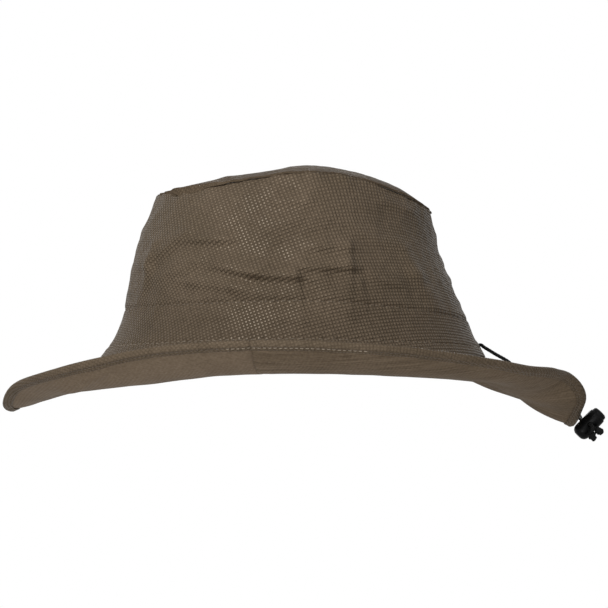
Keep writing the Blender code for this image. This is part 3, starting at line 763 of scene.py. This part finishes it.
edge_angles = np.radians(np.linspace(75.0, -75.0, 7))
hem_inward = np.linspace(0.0, HEM_WIDTH, 12)
top_shares = np.concatenate(
    [
        np.linspace(0.0, 1.0, TOP_STATIONS),
        1.0 + EDGE_ROUND / BRIM_WIDTH * np.cos(edge_angles),
        1.0 - hem_inward / BRIM_WIDTH,
        (1.0 - (HEM_WIDTH - HEM_TURNED_IN) / BRIM_WIDTH,),
    ]
)
top_depths = np.concatenate(
    [
        np.zeros(TOP_STATIONS),
        EDGE_HALF_DEPTH - EDGE_HALF_DEPTH * np.sin(edge_angles),
        hem_depth(hem_inward),
        (BRIM_DEPTH + 0.05,),
    ]
)
top_run = run_along(np.stack([top_shares * BRIM_WIDTH, top_depths], axis=1))
low_shares = np.linspace(0.0, 1.0 - 0.8 / BRIM_WIDTH, 62)
brim_turns = {
    "front": np.linspace(BRIM_SEAM_RIGHT, BRIM_SEAM_LEFT, 361),
    "back": np.linspace(BRIM_SEAM_LEFT, BRIM_SEAM_RIGHT + 360.0, 421),
}
UNDER_CLOTHS = {"front": under_front, "back": under_back}
for place, turns in brim_turns.items():
    turn, share = cloth_grid(turns, top_shares)
    upper = sewn_sheet(
        "brim_upper_" + place,
        brim_face(turn, share, top_depths)[::-1],
        brim_flat(turn, top_run / BRIM_WIDTH)[::-1],
        (brim_cloth,),
        "brim_top_" + place,
        HEM_CLOTH,
    )
    turn, share = cloth_grid(turns, low_shares)
    lower = sewn_sheet(
        "brim_lower_" + place,
        brim_face(turn, share, BRIM_DEPTH),
        brim_flat(turn, share),
        (UNDER_CLOTHS[place],),
        "brim_under_" + place,
        BRIM_PLY,
    )

FOAM = 0.7
FOAM_DEPTH = 0.9


def foam_sheet():
    """Closed-cell foam, with its cells showing as pale rings."""
    material, tree, shader = new_finish("foam_sheet")
    place = linked(tree, "ShaderNodeTexCoord").outputs["Object"]
    cells = linked(tree, "ShaderNodeTexVoronoi", Vector=place, Scale=1400.0)
    stops = ((0.0, (0.46, 0.46, 0.44)), (0.7, (0.60, 0.60, 0.58)))
    joined(tree, shader, Base_Color=tone_ramp(tree, cells.outputs["Distance"], stops), Roughness=0.9)
    return material


turn, share = cloth_grid(np.linspace(0.0, 360.0, 361), np.linspace(0.0, 0.985, 24))
foam = sewn_sheet(
    "brim_foam",
    brim_face(turn, share, FOAM_DEPTH)[::-1],
    brim_flat(turn, share)[::-1],
    (foam_sheet(),),
    "brim_stiffener",
    FOAM,
    loop=True,
)

# Sweatband. A soft ribbed band inside the crown, sewn along its two edges, which leaves a
# tunnel for the drawcord along its lower part.
BAND_CLOTH = 0.6
CORD = 2.2
EYELET_TAIL = 1.0
GAP = 0.3
CORD_DEPTH = CROWN_CLOTH + EYELET_TAIL + GAP + CORD / 2 + 0.05
TUNNEL_DEPTH = CORD_DEPTH + CORD / 2 + GAP + 0.05
BAND_SHARES = (0.004, 0.035, 0.085, 0.15, 0.30)
BAND_DEPTHS = (UNDER_CROWN, TUNNEL_DEPTH, TUNNEL_DEPTH, UNDER_CROWN + 0.5, UNDER_CROWN)
band_rib = woven_tape("band_rib", (0.034, 0.032, 0.030), (0.056, 0.053, 0.050))
band_shares = np.linspace(BAND_SHARES[0], BAND_SHARES[-1], 44)
turn, share = cloth_grid(np.linspace(0.0, 360.0, 481), band_shares)
inner_band = sewn_sheet(
    "inner_band",
    crown_face(turn, share, through(BAND_SHARES, BAND_DEPTHS, band_shares)),
    np.stack([np.radians(turn) * CROWN_RADIUS, share * CROWN_SLANT], axis=-1),
    (band_rib,),
    "sweatband",
    BAND_CLOTH,
    loop=True,
)

# Stitches. Polyester thread, sewn through the crown at the band's two edges and through the
# brim's hem. Each stitch is a short bead of thread that dips into the cloth at both ends.
THREAD = 0.24
STITCH_STATIONS = np.array((-0.5, -0.36, 0.0, 0.36, 0.5))
STITCH_RADII = THREAD * np.array((0.35, 0.85, 1.0, 0.85, 0.35))
STITCH_HEIGHTS = THREAD * np.array((-0.9, 0.25, 0.6, 0.25, -0.9))
STITCH_SIDES = 6
BAND_PITCH = 3.4
BAND_STITCH = 2.5
BASE_PITCH = 4.0
BASE_STITCH = 2.7
HEM_PITCH = 3.0
HEM_STITCH_LENGTH = 2.1
HEM_SHARE = 1.0 - HEM_STITCH / BRIM_WIDTH


def speckled(name, scale, detail, stops, **sockets):
    """A finish whose tones follow noise, with its node tree, its shader and that noise."""
    material, tree, shader = new_finish(name)
    specks = piece_noise(tree, scale, detail)
    joined(tree, shader, Base_Color=tone_ramp(tree, specks, stops), **sockets)
    return material, tree, shader, specks


def sewing_thread(name, dark, light):
    """Twisted sewing thread, with a slight gloss."""
    return speckled(name, 2600.0, 2.0, ((0.3, dark), (0.7, light)), Roughness=0.45)[0]


brown_thread = sewing_thread("brown_thread", (0.14, 0.108, 0.076), (0.25, 0.20, 0.145))
# A paler copy of the hem's thread, as a painted highlight on the hem stitches at the sides.
thread_painted_highlight = sewing_thread("thread_painted_highlight", (0.26, 0.21, 0.155), (0.46, 0.38, 0.29))
dark_thread = sewing_thread("dark_thread", (0.085, 0.063, 0.041), (0.140, 0.105, 0.072))


def band_line(turn):
    """The stitches along the band's upper edge, and the way out of the cloth there."""
    share = stitch_share(turn)
    return crown_face(turn, share), facing(crown_point, turn, share)


def base_line(turn):
    """The stitches along the crown's base, and the way out of the cloth there."""
    return crown_face(turn, BASE_STITCH_SHARE), facing(crown_point, turn, BASE_STITCH_SHARE)


def hem_line_below(turn):
    """The hem's stitches on the underside, and the way out of the cloth there."""
    return brim_face(turn, HEM_SHARE, hem_depth(HEM_STITCH)), facing(brim_point, turn, HEM_SHARE)


def hem_line_above(turn):
    """The hem's stitches on the upper side, and the way out of the cloth there."""
    return brim_face(turn, HEM_SHARE, 0.0), facing(brim_point, turn, HEM_SHARE, -1.0)


def even_turns(line, pitch):
    """Turns all round the hat at which a line's points lie about a pitch apart."""
    fine = np.linspace(0.0, 360.0, 2400)
    run = run_along(line(fine)[0])
    count = max(2, round(run[-1] / pitch))
    return np.interp((np.arange(count) + 0.5) * run[-1] / count, run, fine)


def tube_faces(first, rings, sides):
    """The faces of a tube with closed ends, whose rings of points start at a first point."""
    faces = []
    for ring in range(rings - 1):
        for j in range(sides):
            here = first + ring * sides + j
            beside = first + ring * sides + (j + 1) % sides
            faces.append((here, beside, beside + sides, here + sides))
    last = first + (rings - 1) * sides
    faces.append([first + j for j in range(sides - 1, -1, -1)])
    faces.append([last + j for j in range(sides)])
    return faces


def smooth_mesh(name, points, faces):
    """A smooth mesh of points in millimetres."""
    mesh = bpy.data.meshes.new(name)
    mesh.from_pydata((np.array(points) * MM).tolist(), [], faces)
    mesh.shade_smooth()
    return mesh


def stitch_row(name, line, turns, length, thread):
    """One piece of stitches along a line, with a stitch at each turn."""
    middles, ups = line(turns)
    ways = unit(line(turns + 0.1)[0] - line(turns - 0.1)[0])
    points = []
    faces = []
    for middle, along, up in zip(middles, ways, ups):
        across = np.cross(along, up)
        faces += tube_faces(len(points), len(STITCH_STATIONS), STITCH_SIDES)
        for station, radius, height in zip(STITCH_STATIONS, STITCH_RADII, STITCH_HEIGHTS):
            centre = middle + along * station * length + up * height
            for j in range(STITCH_SIDES):
                angle = 2 * math.pi * j / STITCH_SIDES
                points.append(centre + across * radius * math.cos(angle) + up * radius * math.sin(angle))
    worn_piece(name, smooth_mesh(name, points, faces), "hat", (thread,), [])


stitch_row("stitches_band_top", band_line, even_turns(band_line, BAND_PITCH), BAND_STITCH, dark_thread)
stitch_row("stitches_band_base", base_line, even_turns(base_line, BASE_PITCH), BASE_STITCH, brown_thread)
hem_turns = even_turns(hem_line_below, HEM_PITCH)
# The hem's stitches near the brim's side seams, on both sides, are drawn in the paler thread as a painted
# highlight where the near side faces the lamps. The rest use the dark thread.
by_seams = np.abs(np.abs(180.0 - hem_turns) - 91.0) < 13.0
for name, turns, thread in (
    ("stitches_hem_below", hem_turns[~by_seams], dark_thread),
    ("stitches_hem_painted_highlight", hem_turns[by_seams], thread_painted_highlight),
):
    stitch_row(name, hem_line_below, turns, HEM_STITCH_LENGTH, thread)
upper_turns = even_turns(hem_line_above, HEM_PITCH)
stitch_row("stitches_hem_above", hem_line_above, upper_turns, HEM_STITCH_LENGTH, brown_thread)

# Eyelets. Two blackened brass eyelets set through the right crown panel near the back seam,
# each rolled over a washer on the inside, for the cord to leave its tunnel by.
FACET = 7.5
FACET_TOP = 0.12
EYELET_TURNS = {"rear": 3.75, "side": 18.75}
CORD_WAYS = {"rear": 1.0, "side": -1.0}
EYELET_BORE = 2.3
EYELET_TUBE = 2.7
EYELET_FLANGE = 4.5
EYELET_SEAT = 0.3
EYELET_FOOT = -1.7
WASHER_BORE = 3.0
WASHER_EDGE = ((4.2, -1.65), (4.45, -1.55), (4.5, -1.4), (4.45, -1.25), (4.2, -1.15))
CORD_SHARE = 0.06


def eyelet_frame(turn, way):
    """The middle, normal and cord direction of the flat facet that holds an eyelet."""
    facet = np.array((turn - FACET / 2, turn + FACET / 2))
    low = crown_point(facet, 0.0)
    high = crown_point(facet, FACET_TOP)
    normal = unit(np.cross(high[1] - low[0], high[0] - low[1]))
    along = crown_point(turn + way, CORD_SHARE) - crown_point(turn, CORD_SHARE)
    along = along - normal * np.dot(along, normal)
    return (low.sum(axis=0) + high.sum(axis=0)) / 4, normal, unit(along)


EYELETS = {name: eyelet_frame(EYELET_TURNS[name], CORD_WAYS[name]) for name in EYELET_TURNS}


def arc(middle, radii, first, last, count):
    """Points on a stretch of an oval about a middle, between two angles in degrees."""
    points = []
    for angle in np.radians(np.linspace(first, last, count)):
        points.append((middle[0] + radii[0] * math.cos(angle), middle[1] + radii[1] * math.sin(angle)))
    return points


def faced_outward(mesh):
    """Turns all the faces of a closed mesh outwards."""
    work = bmesh.new()
    work.from_mesh(mesh)
    bmesh.ops.recalc_face_normals(work, faces=work.faces)
    work.to_mesh(mesh)
    work.free()


def turned_mesh(name, profile, sides):
    """A mesh turned about Z from a closed outline of radii and heights in millimetres."""
    rings = []
    points = []
    for radius, height in profile:
        if radius < 1e-6:
            rings.append([len(points)] * sides)
            points.append((0.0, 0.0, height))
            continue
        rings.append(list(range(len(points), len(points) + sides)))
        for i in range(sides):
            angle = 2 * math.pi * i / sides
            points.append((radius * math.cos(angle), radius * math.sin(angle), height))
    faces = []
    for low, high in zip(rings, rings[1:] + rings[:1]):
        for i in range(sides):
            j = (i + 1) % sides
            face = list(dict.fromkeys((low[i], low[j], high[j], high[i])))
            if len(face) > 2:
                faces.append(face)
    mesh = smooth_mesh(name, points, faces)
    faced_outward(mesh)
    mesh.shade_smooth()
    return mesh


def standing(middle, z_way, x_way):
    """A matrix that stands a turned mesh at a middle in millimetres, with its Z and X given."""
    z_way = Vector(z_way).normalized()
    x_way = (Vector(x_way) - z_way * z_way.dot(Vector(x_way))).normalized()
    turn = Matrix((x_way, z_way.cross(x_way), z_way)).transposed().to_4x4()
    return Matrix.Translation(Vector(middle) * MM) @ turn


BRASS_TONES = ((0.45, (0.022, 0.021, 0.020)), (0.80, (0.085, 0.066, 0.040)))
black_brass = speckled("black_brass", 700.0, 4.0, BRASS_TONES, Metallic=1.0, Roughness=0.38)[0]
eyelet_profile = [
    (EYELET_BORE, EYELET_FOOT),
    (EYELET_TUBE, EYELET_FOOT),
    (EYELET_TUBE, EYELET_SEAT),
    (EYELET_FLANGE, EYELET_SEAT),
    *arc((3.4, EYELET_SEAT), (1.1, 0.7), 0.0, 160.0, 9),
    (EYELET_BORE, 0.0),
]
washer_profile = [(WASHER_BORE, WASHER_EDGE[0][1]), *WASHER_EDGE, (WASHER_BORE, WASHER_EDGE[-1][1])]
for name, (middle, normal, along) in EYELETS.items():
    for piece_name, profile, node in (
        ("eyelet_ring_" + name, eyelet_profile, "eyelet_" + name),
        ("eyelet_backing_" + name, washer_profile, "eyelet_washer_" + name),
    ):
        mesh = turned_mesh(piece_name, profile, 56)
        mesh.transform(standing(middle, normal, along))
        worn_piece(piece_name, mesh, "hat", (black_brass,), [node])

# Drawcord. Thin black twisted cord that runs round the head in the band's tunnel. Its two ends
# come out of the eyelets, lie over the back of the brim and hang through the cord lock, and
# each ends in a knot.
HOLE = np.array((180.0, -26.5, -42.5))
ALONG_CORD = np.array(Vector((0.18, -0.97, -0.15)).normalized())
BUTTON_WAY = np.array((0.69, 0.06, 0.72))
BUTTON_WAY = unit(BUTTON_WAY - ALONG_CORD * np.dot(BUTTON_WAY, ALONG_CORD))
BESIDE = np.cross(BUTTON_WAY, ALONG_CORD)
CORD_PAIR = CORD / 2 + 0.15
CORD_LAY = 6.0
STRAIGHT_RUN = 14.5
LOCK_RADIUS = 5.8
TUNNEL_END = 3.0
ON_BRIM = {
    "rear": ((3.6, 0.07, 7.8), (3.2, 0.22, 10.5), (2.6, 0.45, 7.6), (2.0, 0.70, 4.8), (1.6, 0.96, 3.4)),
    "side": ((17.5, 0.16, 5.6), (13.5, 0.33, 4.6), (9.5, 0.54, 4.0), (6.2, 0.78, 3.8), (4.4, 0.96, 3.8)),
}
OVER_EDGE = {
    "rear": ((174.9, 2.0, -37.4), (176.2, -4.0, -38.6)),
    "side": ((177.0, 5.5, -36.8), (178.2, -2.0, -40.0)),
}
ASIDE = {"rear": -CORD_PAIR, "side": CORD_PAIR}
STRAND_PAST_LOCK = {"rear": 3.0, "side": 0.6}
KNOT_MIDDLES = {
    "rear": ALONG_CORD * (LOCK_RADIUS + 4.6) + BESIDE * 6.2 - BUTTON_WAY * 3.0,
    "side": ALONG_CORD * (LOCK_RADIUS + 2.4) + BESIDE * 7.4 + BUTTON_WAY * 2.5,
}
TAIL_WAYS = {
    "rear": ALONG_CORD * 0.6 + BESIDE * 0.5 + BUTTON_WAY * 0.3,
    "side": ALONG_CORD * 0.6 + BESIDE * 0.6 - BUTTON_WAY * 0.2,
}
KNOT_WRAPS = 2.25
KNOT_PITCH = 1.5
KNOT_COIL = 1.25
KNOTS_DRAWN_IN = np.array((-3.0, 0.0, 0.7))


def rounded_route(points, step):
    """Points about a step apart on a smooth curve through the route points."""
    points = np.array([tuple(point) for point in points], float)
    run = run_along(points)
    at = np.linspace(0.0, run[-1], max(2, round(run[-1] / step) + 1))
    return np.stack([through(run, column, at) for column in points.T], axis=1)


def twisted_rope(name, path, thickness, sides, lay, plies=3):
    """A rope mesh whose plies wind round the path, with rounded ends."""
    path = np.asarray(path, float)
    run = run_along(path)
    up = Vector((0.13, 0.31, 0.94))
    points = []
    for spot, way, at in zip(path, unit(np.gradient(path, axis=0)), run):
        way = Vector(way)
        up = (up - way * way.dot(up)).normalized()
        across = way.cross(up)
        from_end = min(at, run[-1] - at) / (thickness * 0.5)
        close = math.sqrt(max(0.3, 1 - (1 - min(from_end, 1.0)) ** 2))
        for j in range(sides):
            angle = 2 * math.pi * j / sides
            ply = abs(math.cos(plies / 2 * (angle - 2 * math.pi * at / lay)))
            radius = thickness / 2 * (0.86 + 0.16 * ply**0.7) * close
            points.append(spot + np.array(up * math.cos(angle) + across * math.sin(angle)) * radius)
    return smooth_mesh(name, points, tube_faces(0, len(path), sides))


def twisted_cord():
    """Black synthetic cord with fine fibres and little gloss."""
    stops = ((0.3, (0.003, 0.003, 0.003)), (0.75, (0.009, 0.009, 0.009)))
    material, tree, shader, fibres = speckled("black_cord", 2400.0, 3.0, stops, Roughness=0.70)
    joined(tree, shader, Normal=raised(tree, fibres, 0.4, 0.0003), Specular_IOR_Level=0.12)
    return material


black_cord = twisted_cord()


def cord_piece(name, path, sides, node):
    """A stretch of the drawcord along a path, as a piece that stands for a CAD node."""
    mesh = twisted_rope(name, path, CORD, sides, CORD_LAY)
    return worn_piece(name, mesh, "hat", (black_cord,), [node])


tunnel_first = EYELET_TURNS["side"] + TUNNEL_END
tunnel_last = EYELET_TURNS["rear"] + 360.0 - TUNNEL_END
tunnel_turns = np.linspace(tunnel_first, tunnel_last, 620)
cord_piece("cord_in_tunnel", crown_face(tunnel_turns, CORD_SHARE, CORD_DEPTH), 12, "drawcord_in_band")


def eyelet_bend(name):
    """The cord's quarter turn out of the tunnel and through an eyelet."""
    middle, normal, along = EYELETS[name]
    points = [middle - normal * CORD_DEPTH - along * 4.2]
    for angle in np.radians((0, 22, 45, 68, 90)):
        sunk = normal * CORD_DEPTH * math.cos(angle)
        points.append(middle + along * CORD_DEPTH * (math.sin(angle) - 1) - sunk)
    points.append(middle + normal * 2.0)
    return points


def knot_wraps(way):
    """The turns of a knot about its middle, wound round the way that the cord comes in."""
    angles = np.linspace(0.0, KNOT_WRAPS * 2 * math.pi, 56)
    rise = np.linspace(-0.5, 0.5, 56) * KNOT_WRAPS * KNOT_PITCH
    turns = np.stack([KNOT_COIL * np.cos(angles), KNOT_COIL * np.sin(angles), rise], axis=1)
    return turns @ np.array(standing((0, 0, 0), way, BUTTON_WAY).to_3x3()).T


cord_paths = {}
for name in ("rear", "side"):
    start = HOLE - ALONG_CORD * STRAIGHT_RUN + BESIDE * ASIDE[name]
    bend = eyelet_bend(name)
    route = [bend[-1]]
    for turn, share, lift in ON_BRIM[name]:
        route.append(brim_point(turn, share) + facing(brim_point, turn, share, -1.0) * lift)
    route += [np.array(spot) for spot in OVER_EDGE[name]]
    route += [start, start + ALONG_CORD * 4.0]
    free = rounded_route(route, 1.0)
    strand_end = STRAIGHT_RUN + LOCK_RADIUS + STRAND_PAST_LOCK[name]
    strand = [start + ALONG_CORD * reach for reach in np.linspace(5.0, strand_end, 16)]
    knot = HOLE + KNOT_MIDDLES[name] + KNOTS_DRAWN_IN
    mouth = strand[-1] + ALONG_CORD * 1.3
    neck_way = unit(knot - mouth)
    neck = [mouth + neck_way * 0.6, knot - neck_way * 1.8]
    cord_paths[name] = rounded_route(bend[:-1] + list(free[::3]) + strand[::3] + neck, 0.4)
    tail = np.array(Vector(TAIL_WAYS[name]).normalized())
    knot_route = [knot - neck_way * 2.2, *(knot + knot_wraps(neck_way))]
    knot_route += [knot + tail * 1.8, knot + tail * 3.0]
    knot_path = rounded_route(knot_route, 0.3)
    cord_piece("cord_knot_tied_" + name, knot_path, 14, "cord_knot_" + name)

# Cord lock. A moulded nylon barrel with a spring button in it. Both cords pass through a slot
# in the barrel and in the button, and the spring nips them between the two.
BUTTON_RADIUS = 4.65
BUTTON_TOP = 10.8
BUTTON_FOOT = -2.8
PRESS_TRAVEL = 2.5
LOCK_BORE = 4.9
BARREL_RADIUS = 5.4
LOCK_RIM = 7.9
LOCK_BASE = -9.6
LOCK_FLOOR = -7.6
BARREL_END = (3.6, 4.0)
RIM_ROUND = (0.38, 1.5)
BUTTON_ROUND = (1.9, 1.8)
BUTTON_SHOULDER = BUTTON_TOP - 2.0
HOLE_HALF_WIDTH = CORD_PAIR + CORD / 2 + GAP
HOLE_HALF_HEIGHT = CORD / 2 + 0.4
SLOT_EASE = 0.22
lock_stand = standing(HOLE, BUTTON_WAY, ALONG_CORD)


def moulded_nylon():
    """Black moulded nylon with a fine grain, and scuffs that change its gloss."""
    stops = ((0.35, (0.0030, 0.0030, 0.0033)), (0.8, (0.006, 0.006, 0.006)))
    material, tree, shader, scuffs = speckled("black_plastic", 260.0, 4.0, stops, Specular_IOR_Level=0.08)
    gloss = linked(tree, "ShaderNodeMapRange", Value=scuffs, To_Min=0.26, To_Max=0.46)
    grain = raised(tree, piece_noise(tree, 1600.0, 3.0), 0.12, 0.0002)
    joined(tree, shader, Roughness=gloss.outputs["Result"], Normal=grain)
    return material


def slot_bar(low, high, half_length):
    """A bar along X with round edges, to cut the slot for the cords."""
    radius = min(0.45 * (high - low), 1.6)
    right = HOLE_HALF_WIDTH - radius
    rim = []
    for y, z, first in (
        (right, high - radius, 0.0),
        (-right, high - radius, 90.0),
        (-right, low + radius, 180.0),
        (right, low + radius, 270.0),
    ):
        rim += arc((y, z), (radius, radius), first, first + 90.0, 9)
    count = len(rim)
    points = [(x * MM, y * MM, z * MM) for x in (-half_length, half_length) for y, z in rim]
    faces = [list(range(count)), list(range(2 * count - 1, count - 1, -1))]
    faces += [(i, count + i, count + (i + 1) % count, (i + 1) % count) for i in range(count)]
    mesh = bpy.data.meshes.new("slot_bar")
    mesh.from_pydata(points, [], faces)
    faced_outward(mesh)
    return bpy.data.objects.new("slot_bar", mesh)


def slotted(mesh, bar):
    """The mesh with the bar cut out of it and its slot's edges eased."""
    whole = bpy.data.objects.new("whole", mesh)
    for helper in (whole, bar):
        bpy.context.scene.collection.objects.link(helper)
    cut = whole.modifiers.new("slot", "BOOLEAN")
    cut.operation = "DIFFERENCE"
    cut.solver = "EXACT"
    cut.object = bar
    ease = whole.modifiers.new("ease", "BEVEL")
    ease.width = SLOT_EASE * MM
    ease.segments = 2
    ease.angle_limit = math.radians(38.0)
    bpy.context.view_layer.update()
    done = bpy.data.meshes.new_from_object(whole.evaluated_get(bpy.context.evaluated_depsgraph_get()))
    for helper in (whole, bar):
        bpy.data.objects.remove(helper)
    done.materials.clear()
    done.shade_smooth()
    done.set_sharp_from_angle(angle=math.radians(35.0))
    return done


black_plastic = moulded_nylon()


def lock_piece(name, profile, sides, bar, body, node):
    """A turned and slotted part of the lock, as a piece that stands for a CAD node."""
    mesh = slotted(turned_mesh(name, profile, sides), bar)
    mesh.transform(lock_stand)
    return worn_piece(name, mesh, body, (black_plastic,), [node])


barrel_profile = [
    (0.0, LOCK_BASE),
    *arc((BARREL_RADIUS - BARREL_END[0], LOCK_BASE + BARREL_END[1]), BARREL_END, -78.75, 0.0, 8),
    (BARREL_RADIUS, LOCK_RIM - RIM_ROUND[1]),
    *arc((BARREL_RADIUS - RIM_ROUND[0], LOCK_RIM - RIM_ROUND[1]), RIM_ROUND, 15.0, 90.0, 6),
    (LOCK_BORE + 0.1, LOCK_RIM),
    (LOCK_BORE, LOCK_RIM - 0.3),
    (LOCK_BORE, LOCK_FLOOR),
    (0.0, LOCK_FLOOR),
]
barrel_bar = slot_bar(-HOLE_HALF_HEIGHT, HOLE_HALF_HEIGHT, LOCK_RADIUS + 4.0)
lock_body = lock_piece("lock_body", barrel_profile, 80, barrel_bar, "cord_lock", "lock_barrel")

button_profile = [
    (0.0, BUTTON_FOOT),
    (BUTTON_RADIUS - 0.2, BUTTON_FOOT),
    (BUTTON_RADIUS, BUTTON_FOOT + 0.2),
    (BUTTON_RADIUS, BUTTON_SHOULDER),
    *arc((BUTTON_RADIUS - BUTTON_ROUND[0], BUTTON_SHOULDER), BUTTON_ROUND, 11.25, 90.0, 8),
    (1.4, BUTTON_TOP - 0.05),
    (0.0, BUTTON_TOP),
]
button_bar = slot_bar(-CORD / 2 - GAP - 0.05, HOLE_HALF_HEIGHT + PRESS_TRAVEL, BUTTON_RADIUS + 2.0)
lock_piece("lock_button_cap", button_profile, 72, button_bar, "lock_button", "lock_plunger")

# Lock spring. A coil of bright steel wire that stands on the barrel's floor under the button. It is built at
# its full length, as when the button is not pressed.
WIRE = 0.6
COIL_RADIUS = BUTTON_RADIUS - 0.9
COIL_TURNS = 3.0
COIL_LOW = LOCK_FLOOR + WIRE / 2 + GAP
COIL_HIGH = BUTTON_FOOT - WIRE / 2 - GAP
NO_LAY = 1000.0


def bright_wire():
    """Bright drawn steel wire."""
    material, tree, shader = new_finish("spring_steel")
    lines = piece_noise(tree, 3000.0, 2.0)
    gloss = linked(tree, "ShaderNodeMapRange", Value=lines, To_Min=0.2, To_Max=0.42)
    joined(tree, shader, Roughness=gloss.outputs["Result"], Base_Color=(0.55, 0.55, 0.56, 1.0), Metallic=1.0)
    return material


coil_at = np.linspace(0.0, 1.0, 181)
coil_angle = 2 * math.pi * COIL_TURNS * coil_at
coil_height = COIL_LOW + (COIL_HIGH - COIL_LOW) * coil_at
coil = np.stack([COIL_RADIUS * np.cos(coil_angle), COIL_RADIUS * np.sin(coil_angle), coil_height], axis=1)
coil_mesh = twisted_rope("lock_coil", coil, WIRE, 12, NO_LAY, 0)
coil_mesh.transform(lock_stand)
spring_steel = bright_wire()
lock_coil = worn_piece("lock_coil", coil_mesh, "cord_lock", (spring_steel,), ["lock_spring"])
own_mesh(lock_coil)

# Cord ends. The two free ends of the drawcord, threaded through their eyelets and the lock and tied off in
# their knots; the lock and the knots hang on them. They are made last, from the paths worked out above.
for name, path in cord_paths.items():
    rope = cord_piece("cord_end_" + name, path, 16, "drawcord_" + name + "_end")
